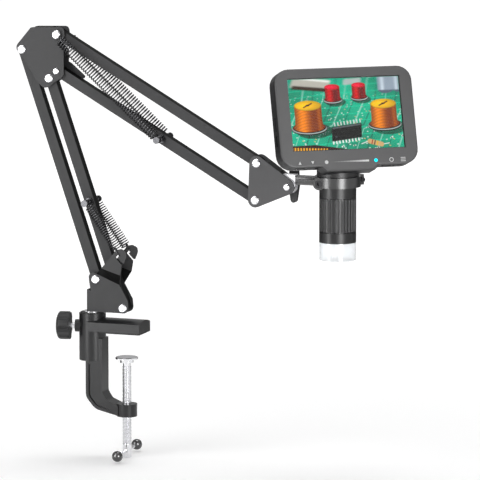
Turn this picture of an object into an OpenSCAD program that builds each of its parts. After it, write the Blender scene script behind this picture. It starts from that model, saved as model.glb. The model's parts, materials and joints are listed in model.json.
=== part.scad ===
/* [Clamp] */
// Distance from the clamp screw to the swivel axis
swivel_reach = 32.4; // [30:0.2:36]
// Diameter of the barrel that holds the swivel post
clamp_barrel_d = 23.6; // [21:0.2:26]
// Height of the barrel's top over the desk
clamp_barrel_top = 15.9; // [15:0.1:17]
// Thickness of the pad under the upper jaw
jaw_pad_t = 1.2; // [0.8:0.1:2]
// Thickness of the upper jaw at its long edges
jaw_t = 8; // [6:0.2:9]
// Rise of the jaw's arched top over its edges
jaw_rise = 2.6; // [1.5:0.1:3]
// Width of the upper jaw
jaw_w = 27; // [22:0.5:30]
// Reach of the upper jaw past the screw axis
jaw_past = 17; // [12:0.5:22]
// Clear opening from the jaw pad down to the screw boss
clamp_opening = 63.8; // [58:0.2:70]
// Width of the clamp's frame below the desk
frame_w = 16; // [12:0.5:18]
// Diameter of the screw boss
boss_d = 18.2; // [15:0.2:20]
// Height of the screw boss
boss_h = 11.2; // [8:0.2:12]
// Outer diameter of the clamp screw
screw_d = 8; // [7:0.1:9]
// Length of the clamp screw
screw_len = 87.4; // [80:0.2:92]
// Thread pitch of the clamp screw
screw_pitch = 1.25; // [1:0.05:1.5]
// Thickness of the desk that the clamp holds at rest
desk_t = 22; // [14:0.5:26]
// Diameter of the pressure pad
pad_d = 20; // [16:0.5:24]
// Diameter of the tommy bar
bar_d = 3; // [2.4:0.1:3.4]
// Distance between the centres of the tommy bar's balls
bar_span = 60; // [45:0.5:66]
// Turn of the tommy bar at rest
bar_turn = 4.5; // [0:0.5:10]
// Diameter of a tommy bar ball
ball_d = 9.8; // [8:0.1:11]

/* [Lock knob] */
// Diameter of the lock knob over its lobes
knob_d = 26.4; // [22:0.2:26.4]
// Thickness of the lock knob
knob_t = 12.4; // [9:0.2:14]
// Height of the lock knob's axis over the desk
knob_z = 4; // [3:0.1:4.2]
// Diameter of the lock stud
stud_d = 5; // [4:0.1:6]
// Bare length of the lock stud between knob and barrel boss
stud_gap = 4.4; // [3.6:0.1:9]

// Turn of the lock knob about the swivel axis, towards the front
lock_side = 13; // [0:1:16]

/* [Swivel post] */
// Diameter of the swivel post in its bush
post_d = 9.6; // [8.4:0.1:10.4]
// Depth of the post below the barrel's top
post_depth = 34; // [28:0.5:38]
// Radial clearance of every running fit
run_fit = 0.06; // [0.03:0.01:0.1]

/* [Lower arm] */
// Distance between the two pivots of one lower tube
lower_len = 213; // [190:0.5:240]
// Angle of the lower tubes over the horizontal
lower_angle = 108.9; // [100:0.1:114]
// Distance between the two pivots of the base bracket
lower_link_len = 35.6; // [33:0.2:38]
// Angle of the line from front to rear pivot of the lower tubes
lower_link_angle = -44; // [-48:0.5:-42]
// Distance from the lower rear tube's base pivot to its spring bolt
lower_anchor_len = 98.5; // [90:0.5:110]

/* [Upper arm] */
// Distance between the two pivots of one upper tube
upper_len = 214; // [195:0.5:240]
// Angle of the upper tubes over the horizontal
upper_angle = -29.6; // [-34:0.1:-24]
// Distance between the pivots of the upper tubes
upper_link_len = 32.6; // [30:0.2:36]
// Angle of the line from top to low pivot of the upper tubes
upper_link_angle = -92.2; // [-94:0.2:-88]
// Distance from the low tube's elbow pivot to its spring bolt
upper_anchor_len = 113; // [100:0.5:125]
// Width of every arm tube, seen from the side
tube_w = 9.2; // [8:0.1:9.4]
// Depth of every arm tube, from front to rear
tube_d = 8.2; // [7.4:0.1:8.4]
// Wall of the arm tubes
tube_wall = 1.2; // [0.8:0.1:1.6]

/* [Brackets] */
// Clear width between the plates of every bracket
plate_gap = 9.8; // [9.6:0.1:11]
// Sheet thickness of the brackets
plate_t = 1.5; // [1:0.1:2]
// Height of the base bracket's B1 pivot over the desk
base_pivot_z = 46.9; // [46:0.1:50]
// Distance from the swivel axis to the base bracket's upper pivot
base_pivot_x = 5.6; // [5:0.1:7]
// Outward step of the hook plates
hook_step = 7.75; // [6.5:0.05:8.4]
// Distance from the elbow's outer lower pivot to its top pivot
elbow_span_len = 36.6; // [34:0.2:38]
// Angle of that line over the horizontal
elbow_span_angle = 23.2; // [21:0.2:26]
// Distance from the end bracket's top pivot to its tip pivot
tip_span_len = 34.4; // [32:0.2:38]
// Angle of that line over the horizontal
tip_span_angle = -35; // [-37:0.2:-32]

/* [Fasteners] */
// Diameter of the pivot bolts
bolt_d = 4; // [3:0.1:4.6]
// Diameter of the pivot bolts' pan heads
head_d = 8; // [6.6:0.1:8.6]
// Height of the pan heads
head_h = 2.2; // [1.6:0.1:3]
// Width across flats of the pivot nuts
nut_af = 7; // [6:0.1:8]

/* [Springs] */
// Outer diameter of the balance springs
spring_d = 10.2; // [8:0.1:10.4]
// Wire diameter of the balance springs
wire_d = 1.2; // [1:0.05:1.3]
// Curls of each lower spring
lower_curls = 18; // [14:1:18]
// Curls of each upper spring
upper_curls = 25; // [20:1:25]

/* [Scope mount] */
// Diameter of the black stem
stem_d = 8.8; // [8:0.1:9.4]
// Height of the stem's axis over the tip pivot
stem_rise = 6; // [5:0.1:7]
// Distance from the tip pivot to the scope's axis
scope_reach = 44.6; // [43:0.2:50]
// Outer diameter of the collar
collar_d = 40; // [39.6:0.2:42]
// Height of the collar
collar_h = 9; // [7:0.2:11]
// Length of the wing handle from end to end
wing_len = 32; // [26:0.5:34]

/* [Scope] */
// Outer diameter of the scope's barrel
barrel_d = 32.2; // [30:0.1:33]
// Length of the fluted focus ring
focus_len = 29.6; // [26:0.2:32]
// Number of flutes round the focus ring
flutes = 32; // [24:1:40]
// Depth of the flutes
flute_depth = 0.5; // [0.3:0.05:0.6]
// Length of the plain ring that holds the lamps
lamp_ring_len = 9; // [8:0.2:11]
// Length of the clear tip
tip_len = 15.5; // [12:0.5:18]
// Wall of the clear tip
tip_wall = 1.5; // [1:0.1:2]
// Number of lamps round the lens
lamps = 8; // [6:1:8]

/* [Display] */
// Width of the display's picture
picture_w = 102; // [98:0.5:112]
// Height of the display's picture
picture_h = 63.8; // [62:0.2:70]
// Frame beside the picture
bezel_side = 11.2; // [10:0.2:15]
// Frame above the picture
bezel_top = 8.4; // [7:0.2:11]
// Frame below the picture
bezel_bottom = 14; // [12.6:0.2:16]
// Depth of the display's casing
head_depth = 19.4; // [17:0.2:22]
// Corner radius of the casing
head_corner = 13; // [9:0.5:14]
// Wall of the casing
case_wall = 1.6; // [1.2:0.1:2]
// Drop of the chin below the casing
chin_drop = 4.5; // [3.5:0.1:5.5]
// Half width of the chin where it leaves the casing
chin_half = 26; // [25:0.5:30]
// Turn of the display about the scope's axis
head_turn = 37; // [32:0.5:44]
// Backward tilt of the display
head_tilt = 17.5; // [14:0.5:19]
// Shift of the display along its width
head_shift = 3; // [0:0.2:4]
// Height of the picture's centre over the collar
head_rise = 51.8; // [51:0.2:56]
// Distance of the display's front from the scope's axis
head_front = 15.2; // [14.6:0.1:15.6]

/* [Hidden] */
$fn = 48;

// One overrun for every cut
over = 1;
// Seat between pieces that touch on different bodies
seat = 0.3;
// Clearance of pieces that are held but not driven
slack = 0.1;

// Colours
case_black = [0.10, 0.10, 0.11];
sheet_black = [0.19, 0.19, 0.20];
face_grey = [0.33, 0.33, 0.34];
chrome = [0.86, 0.87, 0.88];
zinc = [0.72, 0.73, 0.75];
brass = [0.78, 0.64, 0.32];
white_plastic = [0.88, 0.88, 0.86];
board_green = [0.08, 0.36, 0.20];

// Points in the arm's plane are pairs of X and Z
function polar(r, a) = [r * cos(a), r * sin(a)];
function unit(v) = v / norm(v);
function cross_of(u, v) = u[0] * v[1] - u[1] * v[0];
// Steps of an arc that rounds one corner of an outline
arc_steps = 6;
// Points of one corner of an outline, rounded to radius c[2]
function corner(a, c, b) =
    let (p = [c[0], c[1]], u = unit([a[0], a[1]] - p), v = unit([b[0], b[1]] - p))
    let (half = acos(max(-1, min(1, u * v))) / 2)
    c[2] == 0 || half > 89 ? [p] :
    let (centre = p + unit(u + v) * c[2] / sin(half))
    let (s = p + u * c[2] / tan(half) - centre, e = p + v * c[2] / tan(half) - centre)
    let (turn = atan2(cross_of(s, e), s * e), start = atan2(s[1], s[0]))
    [for (i = [0:arc_steps]) centre + polar(c[2], start + turn * i / arc_steps)];
// Points of a closed outline whose corners are given as x, z and radius
function rounded(path) =
    let (n = len(path))
    [for (i = [0:n - 1]) each corner(path[(i + n - 1) % n], path[i], path[(i + 1) % n])];
function with_r(p, r) = [p[0], p[1], r];

// A plate in the arm's plane, from y up to y + t
module plate_y(y, t) {
    translate([0, y + t, 0]) rotate([90, 0, 0]) linear_extrude(t) children();
}
// A rod along Y through point p of the arm's plane
module rod_y(p, r, y0, y1) {
    translate([p[0], y1, p[1]]) rotate([90, 0, 0]) cylinder(r = r, h = y1 - y0);
}
// A rod along X from x0 to x1 at height z
module rod_x(x0, x1, r, z) {
    translate([x0, 0, z]) rotate([0, 90, 0]) cylinder(r = r, h = x1 - x0);
}
// A rod along Z
module rod_z(x, r, z0, z1) {
    translate([x, 0, z0]) cylinder(r = r, h = z1 - z0);
}
// Both of a pair that mirrors in the arm's plane
module pair_y() {
    children();
    mirror([0, 1, 0]) children();
}
// A hexagonal nut along Y, standing on y and t thick
module nut_y(p, y, t, af, bore) {
    difference() {
        translate([p[0], y + t, p[1]]) rotate([90, 0, 0]) cylinder(r = af / 2 / cos(30), h = t, $fn = 6);
        rod_y(p, bore, y - over, y + t + over);
    }
}
// A pan head with a cross recess, facing -Y, with its seat at y
module pan_head(p, y, d, h) {
    slot_l = d * cross_share;
    slot_w = d * cross_width_share;
    translate([p[0], y, p[1]]) rotate([90, 0, 0]) difference() {
        rotate_extrude() polygon([
            [0, 0], [d / 2, 0], [d / 2, h * pan_shares[0]],
            for (a = [15:15:90]) [
                d / 2 * (1 - pan_shares[1]) + d / 2 * pan_shares[1] * cos(a) - (a == 90 ? d / 2 * (1 - pan_shares[1]) : 0),
                h * pan_shares[0] + h * (1 - pan_shares[0]) * sin(a)
            ]
        ]);
        for (a = [20, 110]) rotate([0, 0, a])
            translate([-slot_l / 2, -slot_w / 2, h * pan_shares[2]]) cube([slot_l, slot_w, h]);
    }
}
// Length and width of the cross recess as shares of the head
cross_share = 0.6;
cross_width_share = 0.14;
// Height of the head's rim, width of its rounding and floor of its recess, as shares
pan_shares = [0.25, 0.45, 0.45];

// Swivel axis and clamp
swivel_x = -swivel_reach;
barrel_r = clamp_barrel_d / 2;
boss_top = -clamp_opening;
boss_bottom = boss_top - boss_h;
// Width of the C-shaped column, from its outer to its inner edge
column_w = 15.5;
column_x = swivel_x - 3.6;
// Depth of the pockets in the column's two faces and the rib left round them
pocket_depth = frame_w * 0.1;
pocket_rib = 2.6;
// Height at which the barrel ends and the column starts, and how far the column reaches up in it
barrel_bottom = -26;
column_top = -6;
// The C and its pockets: corners as shares of the column's width, from its outer edge and the boss's bottom
frame_shares = [
    [0, 1.06, 0.65], [0.57, 0.38, 0.8], [1.97, 0.05, 0], [1.97, 0.63, 0], [1.26, 0.93, 0.35], [1, 1.35, 0.3]
];
pocket_shares = [
    [0.17, 1.12, 0.55], [0.66, 0.54, 0.7], [1.55, 0.32, 0.04], [1.55, 0.62, 0.04], [1.17, 0.78, 0.3],
    [0.83, 1.3, 0.35]
];
function on_column(shares) = [for (q = shares)
    [column_x + column_w * q[0], boss_bottom + column_w * q[1], column_w * q[2]]];
frame_path = concat(
    [[column_x, column_top, 0]], on_column(frame_shares), [[column_x + column_w, column_top, 0]]
);
pocket_top = barrel_bottom - pocket_rib;
pocket_path = concat(
    [[column_x + pocket_rib, pocket_top, pocket_rib / 2]], on_column(pocket_shares),
    [[column_x + column_w - pocket_rib, pocket_top, pocket_rib / 2]]
);
// Root of the clamp screw's thread and its running clearance in the boss
screw_r = screw_d / 2;
thread_depth = screw_pitch * 0.5;
screw_core = screw_r - thread_depth;
pad_top = -desk_t;
pad_h = 5;
screw_top = pad_top - pad_h * 0.55;
screw_bottom = screw_top - screw_len;
bar_z = screw_bottom + bar_d * 2;
// Neck of the pressure pad round the screw's tip
pad_neck_d = 12;
// Bush between post and barrel
post_r = post_d / 2;
bush_wall = 1.6;
bush_flange_t = 0.9;
bush_flange_r = barrel_r - 1.2;
post_bottom = clamp_barrel_top - post_depth;
// Lock knob
barrel_boss_r = 5.5;
barrel_boss_l = 3.6;
stud_r = stud_d / 2;
shoe_l = 2.4;
shoe_r = stud_r - 0.4;
knob_x = swivel_x - barrel_r - barrel_boss_l - stud_gap;
knob_lobes = 6;
knob_lobe_r = 4.2;
// Profile of the knob as shares of its radius and thickness
dome_shares = [[0.3, 0], [0.6, 0.04], [0.82, 0.13], [0.95, 0.24], [1, 0.36], [1, 0.92], [0.94, 1]];
thread_fit = 0.08;
// Bottom of the base bracket over the barrel
bracket_gap = 1.8;
bracket_bottom = clamp_barrel_top + bracket_gap;

// The lock's parts are drawn along -X and turned about the swivel axis
module at_lock() translate([swivel_x, 0, 0]) rotate([0, 0, lock_side]) translate([-swivel_x, 0, 0]) children();

// Ring of the thread's ridges on a rod along Z: plain discs one pitch apart
module ridged_rod(r, core, pitch, z0, z1) {
    crest = pitch * 0.42;
    n = floor((z1 - z0) / pitch);
    rotate_extrude() polygon([
        [0, z0], [core, z0],
        for (i = [0:n - 1]) each [
            [core, z0 + pitch * (i + 0.2)], [r, z0 + pitch * (i + 0.2) + (pitch - crest) / 4],
            [r, z0 + pitch * (i + 0.2) + (pitch - crest) / 4 + crest * 0.6], [core, z0 + pitch * (i + 0.95)]
        ],
        [core, z1], [0, z1]
    ]);
}

module clamp_frame() color(case_black) {
    jaw_end_x = jaw_past;
    arch_r = (pow(jaw_w / 2, 2) + pow(jaw_rise, 2)) / (2 * jaw_rise);
    edge_z = jaw_pad_t + jaw_t;
    jaw_l = jaw_end_x - swivel_x;
    difference() {
        union() {
            translate([swivel_x, 0, barrel_bottom]) cylinder(r = barrel_r, h = clamp_barrel_top - barrel_bottom);
            translate([swivel_x, -jaw_w / 2, jaw_pad_t]) cube([jaw_l, jaw_w, jaw_t]);
            intersection() {
                rod_x(swivel_x, jaw_end_x, arch_r, edge_z + jaw_rise - arch_r);
                translate([swivel_x, -jaw_w / 2, edge_z - over])
                    cube([jaw_l, jaw_w, jaw_rise + over * 2]);
            }
            plate_y(-frame_w / 2, frame_w) polygon(rounded(frame_path));
            rod_z(0, boss_d / 2, boss_bottom, boss_top);
            at_lock() rod_x(swivel_x - barrel_r - barrel_boss_l, swivel_x, barrel_boss_r, knob_z);
        }
        // Bore of the swivel post's bush
        rod_z(swivel_x, post_r + run_fit + bush_wall, post_bottom - over, clamp_barrel_top + over);
        // Threaded bore of the lock stud
        at_lock() rod_x(swivel_x - barrel_r - barrel_boss_l - over, swivel_x, stud_r + thread_fit, knob_z);
        // Threaded bore of the clamp screw
        rod_z(0, screw_r + thread_fit, boss_bottom - over, boss_top + over);
        // Pockets in both faces of the column
        pair_y() plate_y(frame_w / 2 - pocket_depth, pocket_depth + over) polygon(rounded(pocket_path));
    }
}
module jaw_pad() color([0.05, 0.05, 0.05])
    translate([swivel_x + barrel_r, -jaw_w / 2, 0])
        cube([jaw_past - swivel_x - barrel_r, jaw_w, jaw_pad_t]);
module post_bush() color([0.85, 0.85, 0.82]) difference() {
    union() {
        rod_z(swivel_x, post_r + run_fit + bush_wall, post_bottom, clamp_barrel_top);
        rod_z(swivel_x, bush_flange_r, clamp_barrel_top, clamp_barrel_top + bush_flange_t);
    }
    rod_z(swivel_x, post_r + run_fit, post_bottom - over, clamp_barrel_top + bush_flange_t + over);
    at_lock() rod_x(swivel_x - barrel_r, swivel_x, stud_r + thread_fit, knob_z);
}
module pressure_pad() color(chrome) difference() {
    translate([0, 0, pad_top - pad_h]) rotate_extrude() polygon([
        [0, pad_h], [pad_d / 2 - pad_h * 0.1, pad_h], [pad_d / 2, pad_h * 0.9], [pad_d / 2, pad_h * 0.66],
        [pad_neck_d / 2, pad_h * 0.5], [pad_neck_d / 2, 0], [0, 0]
    ]);
    rod_z(0, screw_core + run_fit, pad_top - pad_h - over, screw_top + seat);
}
module clamp_screw() color(chrome) difference() {
    union() {
        rod_z(0, screw_core, screw_top - pad_h, screw_top);
        ridged_rod(screw_r, screw_core, screw_pitch, bar_z + bar_d * 2, screw_top - pad_h);
        rod_z(0, screw_r, screw_bottom, bar_z + bar_d * 2);
    }
    rotate([0, 0, bar_turn]) rod_y([0, bar_z], bar_d / 2 + run_fit, -screw_d, screw_d);
}
module tommy_bar() color(chrome)
    rotate([0, 0, bar_turn]) rod_y([0, bar_z], bar_d / 2, -bar_span / 2, bar_span / 2);
module tommy_balls() color([0.03, 0.03, 0.03]) rotate([0, 0, bar_turn]) pair_y() difference() {
    translate([0, bar_span / 2, bar_z]) sphere(d = ball_d, $fn = 48);
    rod_y([0, bar_z], bar_d / 2, 0, bar_span / 2);
}
module lock_shoe() color(brass) at_lock()
    rod_x(swivel_x - post_r - shoe_l, swivel_x - post_r - slack / 2, shoe_r, knob_z);
module lock_stud() color(chrome) at_lock()
    rod_x(knob_x - knob_t * 0.5, swivel_x - post_r - shoe_l - slack / 2, stud_r, knob_z);
module lock_knob() color([0.07, 0.07, 0.07]) at_lock() {
    translate([knob_x - knob_t, 0, knob_z]) rotate([0, 90, 0]) difference() {
        intersection() {
            union() {
                cylinder(d = knob_d - knob_lobe_r * 1.1, h = knob_t);
                for (i = [0:knob_lobes - 1]) rotate([0, 0, 360 / knob_lobes * i + 15])
                    translate([knob_d / 2 - knob_lobe_r, 0, 0]) cylinder(r = knob_lobe_r, h = knob_t);
            }
            rotate_extrude() polygon([
                [0, 0], for (q = dome_shares) [knob_d / 2 * q[0], knob_t * q[1]], [0, knob_t]
            ]);
        }
        translate([0, 0, knob_t * 0.5]) cylinder(r = stud_r, h = knob_t);
    }
}

// Pivots of the arm
lower_front = [swivel_x + base_pivot_x, base_pivot_z];
lower_rear = lower_front + polar(lower_link_len, lower_link_angle);
lower_vec = polar(lower_len, lower_angle);
elbow_front = lower_front + lower_vec;
elbow_rear = lower_rear + lower_vec;
elbow_top = elbow_front + polar(elbow_span_len, elbow_span_angle);
elbow_low = elbow_top + polar(upper_link_len, upper_link_angle);
upper_vec = polar(upper_len, upper_angle);
end_top = elbow_top + upper_vec;
end_low = elbow_low + upper_vec;
tip = end_top + polar(tip_span_len, tip_span_angle);
lower_anchor_at = lower_rear + polar(lower_anchor_len, lower_angle);
upper_anchor_at = elbow_low + polar(upper_anchor_len, upper_angle);

plate_in = plate_gap / 2;
plate_out = plate_in + plate_t;
bolt_r = bolt_d / 2;
nut_t = bolt_d * 0.8;
bush_r = bolt_r + 1;
bush_fit = 0.02;
washer_t = plate_in - tube_d / 2 - seat;
washer_r = tube_w / 2 - 0.3;
bolt_past = 1.2;

// Outline corners as shares of the line between two pivots: along, across, radius
function framed(a, b, shares) =
    let (d = b - a, n = [-d[1], d[0]])
    [for (q = shares) with_r(a + d * q[0] + n * q[1], q[2] * norm(d))];
// Outline round a ring of circles given as x, z and radius, counter-clockwise
function belt(c) =
    let (n = len(c))
    let (phi = [for (i = [0:n - 1])
        let (p = c[i], q = c[(i + 1) % n], d = [q[0] - p[0], q[1] - p[1]])
        atan2(d[1], d[0]) - acos((p[2] - q[2]) / norm(d))])
    [for (i = [0:n - 1])
        let (s = phi[(i + n - 1) % n], e = s + ((phi[i] - s) % 360 + 360) % 360)
        for (k = [0:arc_steps]) [c[i][0], c[i][1]] + polar(c[i][2], s + (e - s) * k / arc_steps)];

// Base bracket: a folded channel whose upper ears step outwards and end in hooks
web_offset = 3.4;
web_x = swivel_x - web_offset;
web_bend = plate_t * 1.6;
web_rise = 19.5;
web_top = bracket_bottom + web_rise;
hook_in = plate_in + hook_step;
hook_y = hook_in + plate_t / 2;
lower_ear_shares = [
    [0.53, 0.36, 0], [-0.08, 0.115, 0], [-0.16, 0.09, 0.05], [-0.21, -0.06, 0.1], [-0.05, -0.19, 0.05],
    [0.12, -0.31, 0]
];
step_low_shares = [[-0.08, 0.115, 0], [0.53, 0.36, 0]];
step_high_shares = [[0.42, 0.63, 0], [-0.05, 0.39, 0]];
hook_shares = [
    [-0.05, 0.39, 0], [-0.085, 0.93, 0.08], [-0.1, 1.0, 0.08], [-0.03, 1.12, 0.09], [0.11, 1.17, 0.09],
    [0.2, 1.1, 0.08], [0.28, 0.91, 0.02], [0.24, 0.895, 0.01], [0.065, 0.9, 0.01], [0.065, 0.985, 0.02],
    [0.015, 0.985, 0.02], [0.015, 0.86, 0.02], [0.27, 0.845, 0.02], [0.42, 0.63, 0]
];
// Centre of the hooks' holes, also as shares
hook_hole_shares = [[0.035, 0.98, 0]];
hook_rim_share = 0.16;
hook_hole = [for (q = framed(lower_front, lower_rear, hook_hole_shares)) [q[0], q[1]]][0];

// A strip of sheet along the line from p to q, for the stepped part
module strip(p, q, y) {
    d = unit([q[0] - p[0], q[1] - p[1]]) * plate_t / 10;
    n = [-d[1], d[0]];
    plate_y(y, plate_t) polygon([
        [p[0], p[1]], [q[0], q[1]], [q[0], q[1]] + n, [p[0], p[1]] + n
    ]);
}
module base_bracket() color(sheet_black) {
    low = framed(lower_front, lower_rear, step_low_shares);
    high = framed(lower_front, lower_rear, step_high_shares);
    difference() {
        union() {
            translate([0, 0, bracket_bottom]) linear_extrude(web_top - bracket_bottom) polygon(concat(
                rounded([
                    [web_x + web_bend, plate_out, 0], [web_x, plate_out, web_bend * 0.9],
                    [web_x, -plate_out, web_bend * 0.9], [web_x + web_bend, -plate_out, 0]
                ]),
                [[web_x + web_bend, -plate_in], [web_x + plate_t, -plate_in + plate_t / 2],
                 [web_x + plate_t, plate_in - plate_t / 2], [web_x + web_bend, plate_in]]
            ));
            pair_y() {
                plate_y(plate_in, plate_t) polygon(rounded(concat(
                    [[web_x + web_bend, bracket_bottom, 0],
                     [lower_rear[0] + lower_link_len * 0.16, bracket_bottom, lower_link_len * 0.13],
                     [lower_rear[0] + lower_link_len * 0.13, lower_rear[1] + lower_link_len * 0.2, lower_link_len * 0.1]],
                    framed(lower_front, lower_rear, lower_ear_shares),
                    [[web_x + web_bend, web_top, 0]]
                )));
                hull() {
                    strip(low[0], low[1], plate_in);
                    strip(high[1], high[0], hook_in);
                }
                plate_y(hook_in, plate_t) polygon(rounded(framed(lower_front, lower_rear, hook_shares)));
            }
        }
        for (p = [lower_front, lower_rear]) rod_y(p, bolt_r + slack, -plate_out - over, plate_out + over);
    }
}
// The post: round below, cut flat on top where it lies in the channel's web
post_collar_r = post_r * 1.66;
post_head_r = plate_in - seat;
post_head_h = 17;
module swivel_post() color(zinc) {
    collar_bottom = clamp_barrel_top + bush_flange_t + seat;
    rod_z(swivel_x, post_r, post_bottom, collar_bottom);
    rod_z(swivel_x, post_collar_r, collar_bottom, bracket_bottom);
    intersection() {
        rod_z(swivel_x, post_head_r, bracket_bottom, bracket_bottom + post_head_h);
        translate([web_x + plate_t, -plate_in, bracket_bottom])
            cube([post_head_r * 2 + plate_t, plate_gap, post_head_h]);
    }
}
// Bolts with their pan heads in front; reach is the room kept under head and nut
module pivot_bolts(list, reach = 0) {
    for (p = list) {
        rod_y(p, bolt_r, -plate_out - reach, plate_out + reach + nut_t + bolt_past);
        pan_head(p, -plate_out - reach, head_d, head_h);
    }
}
module pivot_nuts(list, reach = 0) {
    for (p = list) nut_y(p, plate_out + reach, nut_t, nut_af, bolt_r + slack / 2);
}
module pivot_washers(list) {
    for (p = list) pair_y() difference() {
        rod_y(p, washer_r, plate_in - washer_t, plate_in);
        rod_y(p, bolt_r + slack, 0, plate_in + over);
    }
}
module base_bolts() color(chrome) pivot_bolts([lower_front, lower_rear]);
module base_nuts() color(zinc) pivot_nuts([lower_front, lower_rear]);
module base_washers() color(white_plastic) pivot_washers([lower_front, lower_rear]);

// One arm tube from pivot p at angle a, with round ends and open channel ends
module arm_tube(p, a, l, anchor = 0) color(sheet_black) {
    inner_d = tube_d - tube_wall * 2;
    inner_w = tube_w - tube_wall * 2;
    translate([p[0], 0, p[1]]) rotate([0, -a, 0]) difference() {
        union() {
            translate([0, -tube_d / 2, -tube_w / 2]) cube([l, tube_d, tube_w]);
            for (x = [0, l]) rod_y([x, 0], tube_w / 2, -tube_d / 2, tube_d / 2);
        }
        translate([-tube_w, -inner_d / 2, -inner_w / 2]) cube([l + tube_w * 2, inner_d, inner_w]);
        for (x = [0, l]) rod_y([x, 0], bush_r + bush_fit, -tube_d, tube_d);
        if (anchor > 0) rod_y([anchor, 0], bolt_r + slack, -tube_d, tube_d);
    }
}
module arm_bushes(p, a, l) color(zinc) {
    for (q = [p, p + polar(l, a)]) difference() {
        rod_y(q, bush_r, -tube_d / 2, tube_d / 2);
        rod_y(q, bolt_r + run_fit, -tube_d, tube_d);
    }
}
module lower_front_tube() arm_tube(lower_front, lower_angle, lower_len);
module lower_rear_tube() arm_tube(lower_rear, lower_angle, lower_len, lower_anchor_len);
module upper_top_tube() arm_tube(elbow_top, upper_angle, upper_len);
module upper_low_tube() arm_tube(elbow_low, upper_angle, upper_len, upper_anchor_len);
module lower_front_bushes() arm_bushes(lower_front, lower_angle, lower_len);
module lower_rear_bushes() arm_bushes(lower_rear, lower_angle, lower_len);
module upper_top_bushes() arm_bushes(elbow_top, upper_angle, upper_len);
module upper_low_bushes() arm_bushes(elbow_low, upper_angle, upper_len);

// Bolt across a tube that carries a pair of springs
upper_spring_y = hook_y;
anchor_head_r = 3;
anchor_head_t = 2.8;
anchor_reach = upper_spring_y + wire_d * 1.2;
anchor_nut_t = 2.4;
module spring_bolt(p) color([0.13, 0.13, 0.14]) {
    rod_y(p, bolt_r, -anchor_reach, anchor_reach);
    pair_y() {
        rod_y(p, anchor_head_r, anchor_reach, anchor_reach + anchor_head_t);
        nut_y(p, tube_d / 2, anchor_nut_t, nut_af, bolt_r + slack / 2);
    }
}
module lower_spring_bolt() spring_bolt(lower_anchor_at);
module upper_spring_bolt() spring_bolt(upper_anchor_at);

// Elbow bracket
elbow_shares = [
    [-0.155, 0.111, 0.14], [0.42, 0.4, 0.03], [0.5, 0.38, 0.04], [1.22, 0.1, 0.1], [1.17, -0.1, 0.06],
    [1.06, -0.18, 0.02], [0.98, -0.175, 0.02], [0.91, -0.19, 0.02], [1.0, -0.42, 0.03], [0.76, -0.97, 0.06],
    [0.67, -1.01, 0.04], [0.46, -1.04, 0.03], [0.31, -1.09, 0.06], [0.15, -1.07, 0.12], [0.06, -0.86, 0.1],
    [-0.07, -0.16, 0.06]
];
// Tongue of the elbow's rear plate, over the low tube
tongue_shares = [[0.8, -0.6, 0], [0.93, -0.75, 0.03], [1.14, -1.17, 0.02], [1.09, -1.22, 0.02], [0.72, -0.84, 0]];
// Start and end of the elbow's folded top, as shares of its span
elbow_web_shares = [[0.52, 0.372], [0.9, 0.224]];
hook_room = 2.1;
module elbow_bracket() color(sheet_black) {
    web = framed(elbow_front, elbow_top, [for (q = elbow_web_shares) [q[0], q[1], 0]]);
    d = unit([web[1][0] - web[0][0], web[1][1] - web[0][1]]);
    n = [-d[1], d[0]];
    a = [web[0][0], web[0][1]];
    b = [web[1][0], web[1][1]];
    difference() {
        union() {
            pair_y() plate_y(plate_in, plate_t) polygon(rounded(framed(elbow_front, elbow_top, elbow_shares)));
            plate_y(plate_in, plate_t) polygon(rounded(framed(elbow_front, elbow_top, tongue_shares)));
            plate_y(-plate_in - plate_t / 2, plate_gap + plate_t) polygon([a, b, b - n * plate_t, a - n * plate_t]);
        }
        for (p = [elbow_front, elbow_rear, elbow_top, elbow_low])
            rod_y(p, bolt_r + slack, -plate_out - over, plate_out + over);
    }
}
module elbow_bolts() color(chrome) {
    pivot_bolts([elbow_front, elbow_rear]);
    pivot_bolts([elbow_top], hook_room);
    rod_y(elbow_low, bolt_r, -plate_out, plate_out + nut_t + bolt_past);
    pan_head(elbow_low, -plate_out, head_d * 0.72, head_h * 0.8);
}
module elbow_nuts() color(zinc) {
    pivot_nuts([elbow_front, elbow_rear, elbow_low]);
    pivot_nuts([elbow_top], hook_room);
}
module elbow_washers() color(white_plastic) pivot_washers([elbow_front, elbow_rear, elbow_top, elbow_low]);

// End bracket
end_r = 6.5;
tip_r = 6.8;
module end_bracket() color(sheet_black) {
    outline = belt([with_r(end_top, end_r), with_r(end_low, end_r), with_r(tip, tip_r)]);
    d = unit(tip - end_top);
    n = [-d[1], d[0]];
    web_a = end_top + d * tip_span_len * 0.22 + n * end_r;
    web_b = end_top + d * tip_span_len * 0.62 + n * end_r;
    difference() {
        union() {
            pair_y() plate_y(plate_in, plate_t) polygon(outline);
            plate_y(-plate_in - plate_t / 2, plate_gap + plate_t)
                polygon([web_a, web_b, web_b - n * plate_t, web_a - n * plate_t]);
        }
        for (p = [end_top, end_low, tip]) rod_y(p, bolt_r + slack, -plate_out - over, plate_out + over);
    }
}
module end_bolts() color(chrome) pivot_bolts([end_top, end_low]);
module end_nuts() color(zinc) pivot_nuts([end_top, end_low]);
module end_washers() color(white_plastic) pivot_washers([end_top, end_low]);

// Springs: a swept tube whose path is a list of points with their outward directions
curl_rings = 8;
wire_sides = 6;
coil_r = (spring_d - wire_d) / 2;
tip_gap = seat;
function outward(d, q, a) = q * cos(a) + cross(d, q) * sin(a);
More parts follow.
